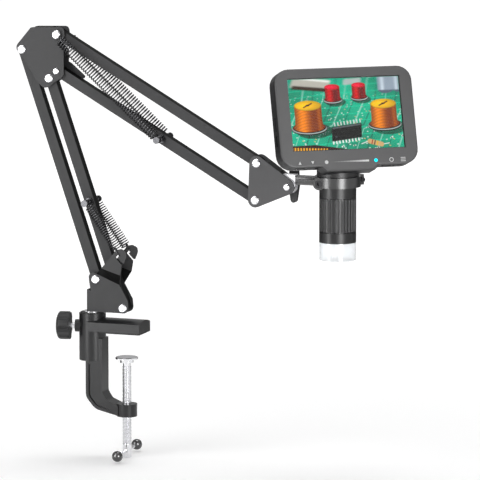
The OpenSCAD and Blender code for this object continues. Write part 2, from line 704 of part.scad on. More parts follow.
// from and to are the ends of the wire, start and stop the coil's ends on its axis
function spring_path(from, start, stop, to, curls) =
    let (d = unit(stop - start), q = unit(cross(d, [0, 1, 0])), n = curls * curl_rings, l = norm(stop - start))
    let (lead = [for (k = [1:3]) k / 4])
    concat(
        [[from, outward(d, q, -135)], [from + unit(start - from) * wire_d, outward(d, q, -135)]],
        [for (k = lead) [start - d * wire_d * (1 - k) * 2 + outward(d, q, -180 * (1 - k)) * coil_r * k,
            outward(d, q, -180 * (1 - k))]],
        [for (i = [0:n]) [start + d * l * i / n + outward(d, q, 360 * i / curl_rings) * coil_r,
            outward(d, q, 360 * i / curl_rings)]],
        [for (j = [2:-1:0]) let (k = lead[j]) [stop + d * wire_d * (1 - k) * 2 + outward(d, q, 180 * (1 - k)) * coil_r * k,
            outward(d, q, 180 * (1 - k))]],
        [[to + unit(stop - to) * wire_d, outward(d, q, 135)], [to, outward(d, q, 135)]]
    );
function path_gap(path) = min([
    for (i = [0:len(path) - 7]) for (j = [i + 6:min(i + 11, len(path) - 1)]) norm(path[i][0] - path[j][0])
]) - wire_d;
module swept_wire(path) {
    n = len(path);
    p = [for (q = path) q[0]];
    t = [for (i = [0:n - 1]) unit(i < 2 ? p[1] - p[0] : i > n - 3 ? p[n - 1] - p[n - 2] : p[i + 1] - p[i - 1])];
    points = [for (i = [0:n - 1])
        let (o = unit(path[i][1] - t[i] * (path[i][1] * t[i])), b = cross(t[i], o))
        for (k = [0:wire_sides - 1])
            p[i] + (o * cos(360 * k / wire_sides) + b * sin(360 * k / wire_sides)) * wire_d / 2];
    last = (n - 1) * wire_sides;
    faces = concat(
        [for (k = [1:wire_sides - 2]) [0, k, k + 1]],
        [for (k = [1:wire_sides - 2]) [last, last + k + 1, last + k]],
        [for (i = [0:n - 2]) for (k = [0:wire_sides - 1])
            let (a = i * wire_sides + k, b = i * wire_sides + (k + 1) % wire_sides)
            each [[a, a + wire_sides, b + wire_sides], [a, b + wire_sides, b]]]
    );
    polyhedron(points, faces);
}
// A point of the arm's plane at depth y
function at_y(p, y) = [p[0], y, p[1]];
lower_dir = unit(lower_anchor_at - hook_hole);
upper_dir = unit(upper_anchor_at - elbow_top);
lower_spring_path = let (rim = lower_link_len * hook_rim_share)
    spring_path(
        at_y(hook_hole + lower_dir * (rim + tip_gap), hook_y),
        at_y(hook_hole + lower_dir * (rim + wire_d * 3), hook_y),
        at_y(lower_anchor_at - lower_dir * (bolt_r + tip_gap + wire_d * 3), hook_y),
        at_y(lower_anchor_at - lower_dir * (bolt_r + tip_gap), hook_y),
        lower_curls
    );
// The upper wire first runs past the top bolt's head and nut, close to the plate
upper_lead = let (y = plate_out + hook_room / 2, o = outward([upper_dir[0], 0, upper_dir[1]], [0, -1, 0], -135))
    [for (r = [bolt_r + tip_gap, bolt_r + tip_gap + wire_d]) [at_y(elbow_top + upper_dir * r, y), o]];
upper_spring_path = concat(upper_lead, spring_path(
    at_y(elbow_top + upper_dir * (head_d / 2 + wire_d * 1.4), plate_out + hook_room / 2),
    at_y(elbow_top + upper_dir * (head_d / 2 + wire_d * 5), upper_spring_y),
    at_y(upper_anchor_at - upper_dir * (bolt_r + tip_gap + wire_d * 3), upper_spring_y),
    at_y(upper_anchor_at - upper_dir * (bolt_r + tip_gap), upper_spring_y),
    upper_curls
));
echo(lower_spring_gap = path_gap(lower_spring_path), upper_spring_gap = path_gap(upper_spring_path));
module lower_springs() color([0.08, 0.08, 0.08]) pair_y() swept_wire(lower_spring_path);
module upper_springs() color([0.08, 0.08, 0.08]) pair_y() swept_wire(upper_spring_path);

// Knuckle, stem and collar
stem_z = tip[1] + stem_rise;
stem_r = stem_d / 2;
eye_r = 6.3;
knuckle_reach = 6.7;
knuckle_back = 6;
knuckle_top = stem_z + stem_r + seat;
knuckle_round = 0.7;
spigot_r = stem_r * 0.65;
spigot_l = 8;
scope_x = tip[0] + scope_reach;
collar_r = collar_d / 2;
collar_rise = 0.8;
collar_z = stem_z + collar_rise - collar_h / 2;
collar_top = collar_z + collar_h;
barrel_out = barrel_d / 2;
stem_start = tip[0] + knuckle_reach + seat;
stem_end = scope_x - collar_r + 2;
// Boss on the collar's front left, with a socket screw that faces the front
boss_x = scope_x - collar_r * 0.57;
boss_z = stem_z - slack * 3;
boss_r = 5.3;
boss_front = -18;
boss_back = -9;
socket_head_r = 3.4;
socket_af = 3;
// Ears that close the split collar at its rear right
ear_turn = 55;
ear_reach = 4.6;
ear_w = 5;
split_w = 1.2;
ear_bolt_r = 1.2;
ear_at = [scope_x + collar_r + ear_reach / 2, stem_z + collar_rise];

module knuckle() color(chrome) difference() {
    union() {
        rod_y(tip, eye_r, -plate_in + seat, plate_in - seat);
        plate_y(-plate_in + seat * 4, (plate_in - seat * 4) * 2) polygon(rounded([
            [tip[0] - knuckle_back, tip[1], 0], [tip[0] - knuckle_back, knuckle_top, knuckle_round * 2],
            [tip[0] + knuckle_reach, knuckle_top, knuckle_round],
            [tip[0] + knuckle_reach, stem_z - stem_r, knuckle_round],
            [tip[0] + eye_r * 0.95, tip[1], 0]
        ]));
        rod_x(tip[0] + knuckle_reach - over, tip[0] + knuckle_reach + spigot_l, spigot_r, stem_z);
    }
    rod_y(tip, bolt_r + run_fit, -plate_in - over, plate_in + over);
}
wing_y = plate_out + seat;
wing_hub_r = 4.6;
wing_hub_l = 9;
wing_t = 5;
wing_end_r = 2.7;
module tip_bolt() color(chrome) {
    rod_y(tip, bolt_r, -plate_out, wing_y + wing_hub_l * 0.8);
    pan_head(tip, -plate_out, head_d * 0.78, head_h);
}
module wing_handle() color([0.09, 0.09, 0.09]) difference() {
    wing_a = [tip[0], tip[1] + wing_len / 2 - wing_end_r, wing_end_r * 1.4];
    wing_b = [tip[0], tip[1] - wing_len / 2 + wing_end_r, wing_end_r];
    union() {
        rod_y(tip, wing_hub_r, wing_y, wing_y + wing_hub_l);
        for (end = [wing_a, wing_b]) plate_y(wing_y + wing_hub_l - wing_t, wing_t)
            polygon(belt([with_r(tip, wing_hub_r), end]));
    }
    rod_y(tip, bolt_r + run_fit, wing_y - over, wing_y + wing_hub_l * 0.8 + seat);
}
module stem() color([0.24, 0.24, 0.25]) difference() {
    rod_x(stem_start, scope_x - barrel_out, stem_r, stem_z);
    rod_z(scope_x, collar_r + slack / 2, collar_z - collar_h, collar_top + collar_h);
    rod_x(stem_start - over, stem_start + spigot_l, spigot_r + run_fit, stem_z);
}
module at_ears() translate([scope_x, 0, 0]) rotate([0, 0, ear_turn]) translate([-scope_x, 0, 0]) children();
module collar() color(case_black) difference() {
    union() {
        rod_z(scope_x, collar_r, collar_z, collar_top);
        at_ears() translate([scope_x + collar_r - over, -ear_w, collar_z])
            cube([ear_reach + over, ear_w * 2, collar_h]);
        rod_y([boss_x, boss_z], boss_r, boss_front, boss_back);
    }
    rod_z(scope_x, barrel_out + run_fit, collar_z - over * boss_r, collar_top + over);
    at_ears() {
        translate([scope_x + barrel_out, -split_w / 2, collar_z - over])
            cube([collar_r, split_w, collar_h + over * 2]);
        rod_y(ear_at, ear_bolt_r + slack, -ear_w - over, ear_w + over);
    }
    rod_y([boss_x, boss_z], socket_head_r + slack, boss_front - over, boss_front + socket_head_r * 0.8);
}
module collar_bolts() color([0.12, 0.12, 0.12]) {
    at_ears() {
        rod_y(ear_at, ear_bolt_r, -ear_w - slack, ear_w);
        rod_y(ear_at, ear_bolt_r * 1.8, -ear_w - ear_bolt_r * 1.6, -ear_w - slack / 2);
    }
    difference() {
        rod_y([boss_x, boss_z], socket_head_r, boss_front - slack, boss_front + socket_head_r * 0.8);
        translate([boss_x, boss_front + socket_head_r * 0.4, boss_z]) rotate([90, 0, 0])
            cylinder(r = socket_af / 2 / cos(30), h = socket_head_r, $fn = 6);
    }
}

// Scope barrel, from the collar downwards
housing_len = 9.6;
housing_bottom = collar_z - housing_len;
focus_top = housing_bottom - seat;
focus_bottom = focus_top - focus_len;
lamp_top = focus_bottom - seat;
lamp_bottom = lamp_top - lamp_ring_len;
tip_bottom = lamp_bottom - tip_len;
skirt_t = 1.6;
board_t = 1.6;
sleeve_r = barrel_out - skirt_t - board_t * 0.4;
sleeve_bore = sleeve_r - skirt_t;
sleeve_bottom = lamp_top - board_t * 1.9;
cell_wall = 3.4;
cell_bore = sleeve_bore - cell_wall;
neck_bottom = collar_top + seat;
neck_r = barrel_out + case_wall + seat * 2;
sensor_rise = 3;
sensor_z = collar_top + sensor_rise;
housing_rise = 8;
housing_top = collar_top + housing_rise;

lid_wall = 2;
module barrel_housing() color(case_black) translate([scope_x, 0, 0]) rotate_extrude() polygon([
    [sleeve_bore, sleeve_bottom], [sleeve_r, sleeve_bottom], [sleeve_r, housing_bottom],
    [barrel_out, housing_bottom], [barrel_out, housing_top], [barrel_out - lid_wall, housing_top],
    [barrel_out - lid_wall, sensor_z], [sleeve_bore, sensor_z]
]);
module focus_ring() color(case_black) translate([scope_x, 0, 0]) difference() {
    flute_top = focus_top - flute_depth * 1.6;
    flute_bottom = focus_bottom + flute_depth * 2;
    rotate_extrude() polygon([
        [sleeve_r + run_fit, focus_bottom], [barrel_out - flute_depth, focus_bottom],
        [barrel_out - flute_depth, focus_bottom + flute_depth], [barrel_out, focus_bottom + flute_depth],
        [barrel_out, focus_top], [sleeve_r + run_fit, focus_top]
    ]);
    for (i = [0:flutes - 1]) rotate([0, 0, 360 / flutes * i])
        translate([barrel_out + flute_depth, 0, flute_bottom])
            cylinder(r = flute_depth * 2, h = flute_top - flute_bottom, $fn = 24);
}
cell_z = lamp_top + sensor_rise;
cell_h = 18;
lens_t = 4;
lens_lip = 1;
module lens_cell() color([0.13, 0.13, 0.13]) translate([scope_x, 0, cell_z]) rotate_extrude() polygon([
    [cell_bore, 0], [sleeve_bore - run_fit, 0], [sleeve_bore - run_fit, cell_h], [cell_bore, cell_h],
    [cell_bore, lens_t * 1.5], [cell_bore - lens_lip, lens_t * 1.5], [cell_bore - lens_lip, lens_t * 1.25],
    [cell_bore, lens_t * 1.25]
]);
module objective_lens() color([0.7, 0.85, 0.95, 0.5])
translate([scope_x, 0, cell_z + lens_t / 4]) rotate_extrude() {
    rim = cell_bore - slack / 2;
    polygon([
        [0, 0], for (k = [1:4]) [rim * k / 4, lens_t * 0.3 * pow(k / 4, 2)],
        for (k = [4:-1:0]) [rim * k / 4, lens_t - lens_t * 0.3 * pow(k / 4, 2)]
    ]);
}
lamp_bore = sleeve_bore;
module lamp_ring() color(case_black) translate([scope_x, 0, 0]) rotate_extrude() polygon([
    [barrel_out - skirt_t, lamp_bottom], [barrel_out, lamp_bottom], [barrel_out, lamp_top],
    [sleeve_r + slack / 2, lamp_top], [sleeve_r + slack / 2, sleeve_bottom], [lamp_bore, sleeve_bottom],
    [lamp_bore, lamp_bottom + board_t * 2], [barrel_out - skirt_t, lamp_bottom + board_t * 2]
]);
lamp_r = 1.3;
lamp_h = 1;
module lamp_board() color(board_green) difference() {
    rod_z(scope_x, barrel_out - skirt_t - slack / 2, lamp_bottom + board_t, lamp_bottom + board_t * 2);
    rod_z(scope_x, cell_bore, lamp_bottom, lamp_bottom + board_t * 2 + over);
}
module lamp_set() color([1, 1, 0.94]) translate([scope_x, 0, lamp_bottom + board_t - lamp_h])
    for (i = [0:lamps - 1]) rotate([0, 0, 360 / lamps * (i + 0.5)])
        translate([(barrel_out - skirt_t + cell_bore) / 2, 0, 0]) cylinder(r = lamp_r, h = lamp_h);
tip_step = 0.3;
module clear_tip() color([0.9, 0.95, 1, 0.35]) translate([scope_x, 0, 0]) rotate_extrude() polygon([
    [barrel_out - tip_wall - tip_step, tip_bottom], [barrel_out - tip_step, tip_bottom],
    [barrel_out - tip_step, lamp_bottom], [barrel_out - tip_wall - tip_step, lamp_bottom]
]);
sensor_w = 9;
module sensor_board() color(board_green) {
    rod_z(scope_x, barrel_out - lid_wall - slack, sensor_z, sensor_z + board_t);
    translate([scope_x - sensor_w / 2, -sensor_w / 2, sensor_z - lamp_h]) cube([sensor_w, sensor_w, lamp_h]);
}

// Display head: its own frame has X across the picture, Y to the rear and Z up the picture
head_z = collar_top + head_rise;
module in_head() translate([scope_x, 0, head_z]) rotate([0, 0, head_turn]) rotate([-head_tilt, 0, 0])
    translate([head_shift, 0, 0]) children();
case_half = picture_w / 2 + bezel_side;
case_top = picture_h / 2 + bezel_top;
case_bottom = -picture_h / 2 - bezel_bottom;
chin_bottom = case_bottom - chin_drop;
front_y = -head_front;
front_t = 5;
part_y = front_y + front_t;
back_y = front_y + head_depth;
front_wall = 1.2;
edge_round = 1.4;
back_round = 3;
chin_round = 2;
function case_path(inset) = rounded([
    [-case_half + inset, case_bottom + inset, head_corner - inset],
    [case_half - inset, case_bottom + inset, head_corner - inset],
    [case_half - inset, case_top - inset, head_corner - inset],
    [-case_half + inset, case_top - inset, head_corner - inset]
]);
function chin_path(inset) = rounded([
    [-chin_half + inset, case_bottom + head_corner, 0], [-chin_half + inset, case_bottom + inset, 0],
    [-chin_half + chin_drop + inset, chin_bottom + inset, chin_round],
    [chin_half - chin_drop - inset, chin_bottom + inset, chin_round],
    [chin_half - inset, case_bottom + inset, 0], [chin_half - inset, case_bottom + head_corner, 0]
]);
skin = 0.05;
module slab(y0, y1, inset) plate_y(y0, y1 - y0) polygon(case_path(inset));
module chin_slab(y0, y1, inset) plate_y(y0, y1 - y0) polygon(chin_path(inset));
module front_bezel() color(face_grey) in_head() difference() {
    union() {
        hull() {
            slab(front_y, front_y + skin, edge_round);
            slab(front_y + edge_round * 0.3, front_y + edge_round * 0.4, edge_round * 0.3);
            slab(front_y + edge_round, part_y, 0);
        }
        hull() {
            chin_slab(front_y, front_y + skin, edge_round);
            chin_slab(front_y + edge_round, part_y, 0);
        }
    }
    slab(front_y + front_wall, part_y + over, case_wall);
    translate([-picture_w / 2, front_y - over, -picture_h / 2]) cube([picture_w, front_wall + over * 2, picture_h]);
}
glass_edge = 3;
glass_t = 1;
module cover_glass() color([0.6, 0.8, 0.9, 0.4]) in_head()
    translate([-picture_w / 2 - glass_edge, front_y + front_wall, -picture_h / 2 - glass_edge])
        cube([picture_w + glass_edge * 2, glass_t, picture_h + glass_edge * 2]);
panel_y = front_y + front_wall + glass_t + slack * 2;
panel_t = 3.2;
module display_panel() color([0.08, 0.1, 0.12]) in_head()
    translate([-picture_w / 2 - glass_edge, panel_y, -picture_h / 2 - glass_edge])
        cube([picture_w + glass_edge * 2, panel_t, picture_h + glass_edge * 2]);
main_w = 76;
main_h = 58;
main_y = panel_y + panel_t + seat;
module main_board() color(board_green) in_head() {
    translate([-main_w / 2, main_y, -main_h / 2]) cube([main_w, board_t, main_h]);
    // Card and charging sockets on the left edge
    for (k = [0:1]) translate([-case_half + case_wall + seat, main_y + board_t + slack, socket_at[k] - socket_len[k] / 2])
        cube([case_half - main_w / 2, socket_high[k], socket_len[k]]);
}
socket_at = [-6.5, -21];
socket_len = [12, 9];
socket_high = [1.8, 3.2];
pin_hole_z = -28;
pin_hole_r = 0.6;
battery_w = 60;
battery_h = 44;
battery_rise = 8;
module battery() color([0.75, 0.76, 0.78]) in_head() {
    y = main_y + board_t + seat;
    translate([-battery_w / 2 + battery_rise, y, -battery_h / 2 + battery_rise])
        cube([battery_w, back_y - case_wall - seat - y, battery_h]);
}
spine_drop = 22;
spine_top = head_z - spine_drop;
spine_wall = 2;
button_w = 8.5;
button_t = 3.5;
button_out = 1;
button_y = part_y + button_t * 0.86;
// Places of the buttons as shares of the casing's half width
button_shares = [-0.71, -0.54, 0.55, 0.71];
button_fit = 0.15;
function lozenge(x, w, t, grow) = belt([
    [x - w / 2 + t / 2, button_y, t / 2 + grow], [x + w / 2 - t / 2, button_y, t / 2 + grow]
]);
module button(k) color([0.16, 0.16, 0.17]) in_head() {
    translate([0, 0, case_bottom - button_out]) linear_extrude(button_out + case_wall + button_fit)
        polygon(lozenge(case_half * button_shares[k], button_w, button_t, 0));
    translate([0, 0, case_bottom + case_wall + button_fit]) linear_extrude(case_wall)
        polygon(lozenge(case_half * button_shares[k], button_w, button_t, slack * 6));
}
module button_up() button(0);
module button_down() button(1);
module button_ok() button(2);
module button_menu() button(3);
module spine_shape(r, z0, z1) translate([scope_x, 0, 0]) rotate_extrude() polygon([
    [0, z0], [r, z0], for (a = [0:15:90]) [r * 0.5 + r * 0.5 * cos(a), z1 - r * 0.5 + r * 0.5 * sin(a)], [0, z1]
]);
module rear_cover() color(case_black) difference() {
    union() {
        in_head() {
            hull() {
                slab(part_y, back_y - back_round, 0);
                slab(back_y - back_round * 0.3, back_y - back_round * 0.2, back_round * 0.35);
                slab(back_y - skin, back_y, back_round);
            }
            hull() {
                chin_slab(part_y, back_y - back_round, 0);
                chin_slab(back_y - skin, back_y, back_round * 0.8);
            }
        }
        difference() {
            spine_shape(neck_r, neck_bottom, spine_top);
            in_head() translate([-neck_r * 2, -neck_r * 4, chin_bottom])
                cube([neck_r * 4, neck_r * 4 + part_y, neck_r * 6]);
        }
    }
    in_head() {
        slab(part_y - over, back_y - case_wall, case_wall);
        for (k = [0:3]) translate([0, 0, case_bottom - over]) linear_extrude(case_wall + over * 2)
            polygon(lozenge(case_half * button_shares[k], button_w, button_t, button_fit));
        for (k = [0:1]) translate([-case_half - over, main_y + board_t, socket_at[k] - socket_len[k] / 2 - slack])
            cube([case_wall + over * 2, socket_high[k] + slack * 2, socket_len[k] + slack * 2]);
        rod_x(-case_half - over, -case_half + case_wall + over, pin_hole_r, pin_hole_z);
    }
    rod_z(scope_x, barrel_out + slack / 2, neck_bottom - over, housing_top + seat);
    intersection() {
        spine_shape(neck_r - spine_wall, housing_top, spine_top - spine_wall);
        in_head() translate([-neck_r * 2, part_y, chin_bottom + case_wall * 1.5])
            cube([neck_r * 4, neck_r * 4, neck_r * 6]);
    }
}

clamp_frame();
jaw_pad();
post_bush();
pressure_pad();
clamp_screw();
tommy_bar();
tommy_balls();
lock_shoe();
lock_stud();
lock_knob();
base_bracket();
swivel_post();
base_bolts();
base_nuts();
base_washers();
lower_front_tube();
lower_front_bushes();
lower_rear_tube();
lower_rear_bushes();
lower_spring_bolt();
lower_springs();
elbow_bracket();
elbow_bolts();
elbow_nuts();
elbow_washers();
upper_springs();
upper_top_tube();
upper_top_bushes();
upper_low_tube();
upper_low_bushes();
upper_spring_bolt();
end_bracket();
end_bolts();
end_nuts();
end_washers();
knuckle();
tip_bolt();
wing_handle();
stem();
collar();
collar_bolts();
barrel_housing();
focus_ring();
lens_cell();
objective_lens();
lamp_ring();
lamp_board();
lamp_set();
clear_tip();
sensor_board();
rear_cover();
front_bezel();
cover_glass();
display_panel();
main_board();
battery();
button_up();
button_down();
button_ok();
button_menu();
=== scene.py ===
"""Looks of a desk microscope with a display head on a sprung arm, built round its fixed CAD frame."""

import json
import math

import bpy
import numpy as np
from mathutils import Matrix, Vector


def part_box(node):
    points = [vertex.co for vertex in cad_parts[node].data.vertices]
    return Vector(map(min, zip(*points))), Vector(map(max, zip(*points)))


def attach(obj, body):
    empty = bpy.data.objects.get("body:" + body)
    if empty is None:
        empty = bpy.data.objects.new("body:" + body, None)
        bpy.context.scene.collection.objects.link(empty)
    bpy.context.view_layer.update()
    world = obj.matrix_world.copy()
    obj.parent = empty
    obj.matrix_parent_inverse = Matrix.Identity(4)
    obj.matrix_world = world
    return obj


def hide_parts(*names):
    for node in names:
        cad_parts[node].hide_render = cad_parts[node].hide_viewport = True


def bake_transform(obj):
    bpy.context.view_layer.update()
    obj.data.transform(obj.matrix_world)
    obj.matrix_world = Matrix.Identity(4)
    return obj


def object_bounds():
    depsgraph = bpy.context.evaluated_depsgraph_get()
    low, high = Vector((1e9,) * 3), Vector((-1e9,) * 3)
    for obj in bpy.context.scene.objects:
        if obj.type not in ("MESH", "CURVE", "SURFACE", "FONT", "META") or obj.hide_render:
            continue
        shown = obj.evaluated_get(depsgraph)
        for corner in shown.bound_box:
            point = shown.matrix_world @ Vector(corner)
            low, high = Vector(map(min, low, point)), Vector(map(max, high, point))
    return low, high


bl_info = {
    "name": "Microscope Looks",
    "version": (1, 0, 0),
    "blender": (4, 5, 0),
    "location": "3D Viewport > Sidebar > Microscope",
    "description": "Springs, display picture, printed marks, materials and stage for a desk microscope",
    "category": "Object",
}

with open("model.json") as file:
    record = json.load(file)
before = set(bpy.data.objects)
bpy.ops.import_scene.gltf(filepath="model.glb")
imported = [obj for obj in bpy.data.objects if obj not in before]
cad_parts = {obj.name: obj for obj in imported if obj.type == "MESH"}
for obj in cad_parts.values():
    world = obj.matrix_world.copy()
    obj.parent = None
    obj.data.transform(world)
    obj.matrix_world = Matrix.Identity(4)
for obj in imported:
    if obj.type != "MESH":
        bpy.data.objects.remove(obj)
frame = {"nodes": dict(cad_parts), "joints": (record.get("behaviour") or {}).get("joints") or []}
CAD_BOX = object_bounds()
MM_PER_M = 1000.0

# Sockets of the Mix node: factor, first and second value for numbers, and the same for colours
MIX_NUMBER_INPUTS = (0, 2, 3)
MIX_COLOUR_INPUTS = (0, 6, 7)
MIX_COLOUR_OUTPUT = 2


# Places on the frame

def centre(node):
    low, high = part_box(node)
    return (low + high) / 2


def joint(name, key="pos_m"):
    return Vector(next(j[key] for j in frame["joints"] if j["name"] == name))


SCOPE_AT = joint("scope_turn")


def head_axes():
    """Right, rear and up directions of the display head, from its glass pane and its buttons' travel."""
    up = joint("up_press", "axis").normalized()
    points = [v.co for v in frame["nodes"]["cover_glass"].data.vertices]
    mid = sum(points, Vector()) / len(points)
    level = Vector((0, 0, 1)).cross(up).normalized()
    right = level if (mid - SCOPE_AT).dot(up.cross(level)) < 0 else -level
    rear = up.cross(right).normalized()
    return right, rear, up, mid


def head_matrix():
    """Frame of the picture: X to the right, Y to the rear and Z up the picture, at the pane's centre."""
    right, rear, up, mid = head_axes()
    m = Matrix((right, rear, up)).transposed().to_4x4()
    m.translation = mid
    return m


def head_box(node):
    """Lowest and highest corner of a CAD node in the display head's own frame."""
    back = head_matrix().inverted()
    points = [back @ v.co for v in frame["nodes"][node].data.vertices]
    return (Vector(map(min, zip(*points))), Vector(map(max, zip(*points))))


# Shader writing

class Wire:
    """A socket in a shader, with arithmetic that adds the Math nodes for it."""

    def __init__(self, shader, socket):
        self.shader = shader
        self.socket = socket

    def _math(self, operation, *values):
        return self.shader.node("ShaderNodeMath", {"operation": operation}, dict(enumerate(values)))

    def __add__(self, other):
        return self._math("ADD", self, other)

    def __sub__(self, other):
        return self._math("SUBTRACT", self, other)

    def __mul__(self, other):
        return self._math("MULTIPLY", self, other)

    def __abs__(self):
        return self._math("ABSOLUTE", self)

    def below(self, limit):
        return self._math("LESS_THAN", self, limit)

    def sine(self):
        return self._math("SINE", self)

    def bearing(self, east):
        """Angle of the direction that goes this far north and so far east."""
        return self._math("ARCTAN2", self, east)

    def clamp(self, low=0.0, high=1.0):
        return self.shader.node("ShaderNodeClamp", {}, {"Value": self, "Min": low, "Max": high})

    def ramp(self, low, high, to_low=0.0, to_high=1.0):
        return self.shader.node(
            "ShaderNodeMapRange", {"interpolation_type": "SMOOTHSTEP"},
            {"Value": self, "From Min": low, "From Max": high, "To Min": to_low, "To Max": to_high},
        )


class Shader:
    """A material being written: its node tree, its coordinates and its one Principled surface."""

    def __init__(self, name):
        self.material = bpy.data.materials.new(name)
        self.material.use_nodes = True
        self.tree = self.material.node_tree
        self.tree.nodes.clear()
        self.out = self.tree.nodes.new("ShaderNodeOutputMaterial")
        self._place = None

    def node(self, kind, settings=None, inputs=None, output=0):
        made = self.tree.nodes.new(kind)
        for key, value in (settings or {}).items():
            setattr(made, key, value)
        for key, value in (inputs or {}).items():
            self.put(made.inputs[key], value)
        return Wire(self, made.outputs[output])

    def put(self, socket, value):
        if isinstance(value, Wire):
            self.tree.links.new(value.socket, socket)
        elif socket.type == "RGBA" and len(value) == 3:
            socket.default_value = (*value, 1.0)
        else:
            socket.default_value = value

    def place(self, scale=(1.0, 1.0, 1.0)):
        """Object coordinates in millimetres, stretched by scale."""
        if self._place is None:
            self._place = self.node("ShaderNodeTexCoord", output="Object")
        return self.node(
            "ShaderNodeVectorMath", {"operation": "MULTIPLY"},
            {0: self._place, 1: tuple(MM_PER_M * s for s in scale)},
        )

    def noise(self, scale, detail=3.0, rough=0.5, stretch=(1.0, 1.0, 1.0)):
        return self.node(
            "ShaderNodeTexNoise", None,
            {"Vector": self.place(stretch), "Scale": scale, "Detail": detail, "Roughness": rough},
        )

    def cells(self, scale, feature="F1"):
        return self.node(
            "ShaderNodeTexVoronoi", {"feature": feature},
            {"Vector": self.place(), "Scale": scale}, "Distance",
        )

    def along(self, direction, of="Object"):
        """Object coordinates in metres, or the object's own normal, measured along a direction."""
        place = self.node("ShaderNodeTexCoord", output=of)
        return self.node(
            "ShaderNodeVectorMath", {"operation": "DOT_PRODUCT"}, {0: place, 1: tuple(direction)}, "Value",
        )

    def mix(self, factor, a, b):
        """Colour a where factor is 0 and b where it is 1."""
        made = self.tree.nodes.new("ShaderNodeMix")
        made.data_type = "RGBA"
        for index, value in zip(MIX_COLOUR_INPUTS, (factor, a, b)):
            self.put(made.inputs[index], value)
        return Wire(self, made.outputs[MIX_COLOUR_OUTPUT])

    def bump(self, height, strength, depth):
        """Normal over a relief that is depth millimetres deep."""
        return self.node(
            "ShaderNodeBump", None, {"Height": height, "Strength": strength, "Distance": depth / MM_PER_M},
        )

    def surface(self, **inputs):
        made = self.tree.nodes.new("ShaderNodeBsdfPrincipled")
        for key, value in inputs.items():
            self.put(made.inputs[key.replace("_", " ")], value)
        self.tree.links.new(made.outputs[0], self.out.inputs["Surface"])
        return self.material


def painted(name, dark, pale, rough, grain=2.2, depth=0.03, coat=0.0, edge=None, shine=0.5):
    """Powder coat or enamel: soft clouding, orange peel, a little dust, and painted shade as another tone on
    the edges.
    """
    s = Shader(name)
    cloud = s.noise(0.03, 4.0, 0.55)
    peel = s.noise(grain, 2.0, 0.5)
    specks = s.cells(0.9).ramp(0.05, 0.16, 1.0, 0.0) * s.noise(0.11, 2.0).ramp(0.55, 0.7)
    colour = s.mix(cloud.ramp(0.3, 0.7), dark, pale)
    # The edge tone is painted shade on the faces that don't look to the front or rear
    if edge is not None:
        unshaded_face = abs(s.along((0, 1, 0), "Normal")).ramp(0.86, 0.97)
        colour = s.mix(unshaded_face, edge, colour)
    colour = s.mix(specks * 0.25, colour, tuple(min(1.0, c * 2.2 + 0.03) for c in pale))
    return s.surface(
        Base_Color=colour,
        Roughness=(cloud * 0.12 + peel * 0.06 + (rough - 0.09)).clamp(0.05, 1.0),
        Normal=s.bump(peel, 0.35, depth),
        Specular_IOR_Level=shine,
        Coat_Weight=coat,
        Coat_Roughness=0.25,
    )


def plated(name, tint, rough=0.1, turn=(1.0, 1.0, 1.0), smear=0.05):
    """Polished or plated metal with faint turning marks and smears."""
    s = Shader(name)
    marks = s.noise(3.2, 2.0, 0.6, turn)
    smears = s.noise(0.16, 4.0, 0.6)
    return s.surface(
        Base_Color=s.mix(smears.ramp(0.35, 0.75), tint, tuple(c * 0.86 for c in tint)),
        Metallic=1.0,
        Roughness=(smears.ramp(0.4, 0.8) * smear + marks * 0.05 + rough).clamp(0.03, 0.9),
        Normal=s.bump(marks, 0.12, 0.02),
    )


def moulded(name, dark, pale, rough, grain=5.0, depth=0.02, coat=0.0, behind=None, shine=0.5):
    """Moulded plastic with a fine spark-eroded grain, and another tone behind a plane if one is given."""
    s = Shader(name)
    cloud = s.noise(0.05, 3.0, 0.5)
    grains = s.cells(grain) * 0.6 + s.noise(grain * 0.8, 2.0) * 0.4
    colour = s.mix(cloud.ramp(0.3, 0.7), dark, pale)
    if behind is not None:
        rear, start, tone = behind
        soft = 0.0002
        colour = s.mix(s.along(rear).ramp(start - soft, start + soft), colour, tone)
    return s.surface(
        Base_Color=colour,
        Roughness=(cloud * 0.1 + grains * 0.06 + (rough - 0.08)).clamp(0.05, 1.0),
        Normal=s.bump(grains, 0.3, depth),
        Specular_IOR_Level=shine,
        Coat_Weight=coat,
        Coat_Roughness=0.12,
        IOR=1.49,
    )


def fluted(name, flute_shade, ridge_highlight, at, count):
    """Moulded grip ring round an upright axis: dark with painted shade in its flutes, pale with painted
    highlights on the ridges between them.
    """
    s = Shader(name)
    east, north = (s.along(d) - at.dot(Vector(d)) for d in ((1, 0, 0), (0, 1, 0)))
    wave = (north.bearing(east) * count).sine() * 0.5 + 0.5
    wear = s.noise(0.4, 3.0)
    # Painted shade in the flutes and painted highlights on the ridges, by the same wave as the relief
    return s.surface(
        Base_Color=s.mix(wave.ramp(0.35, 0.85), flute_shade, ridge_highlight),
        Roughness=(wave * -0.12 + wear * 0.08 + 0.4).clamp(0.05, 1.0),
        Normal=s.bump(wave, 0.5, 0.25),
        Specular_IOR_Level=0.5,
    )


def rubbery(name, dark, pale, rough=0.75):
    """Rubber: matt, with a dusty bloom and fine pits."""
    s = Shader(name)
    bloom = s.noise(0.12, 5.0, 0.6)
    pits = s.cells(2.4)
    return s.surface(
        Base_Color=s.mix(bloom.ramp(0.4, 0.75), dark, pale),
        Roughness=(bloom * 0.15 + (rough - 0.07)).clamp(0.3, 1.0),
        Normal=s.bump(pits, 0.3, 0.04),
        Specular_IOR_Level=0.4,
    )


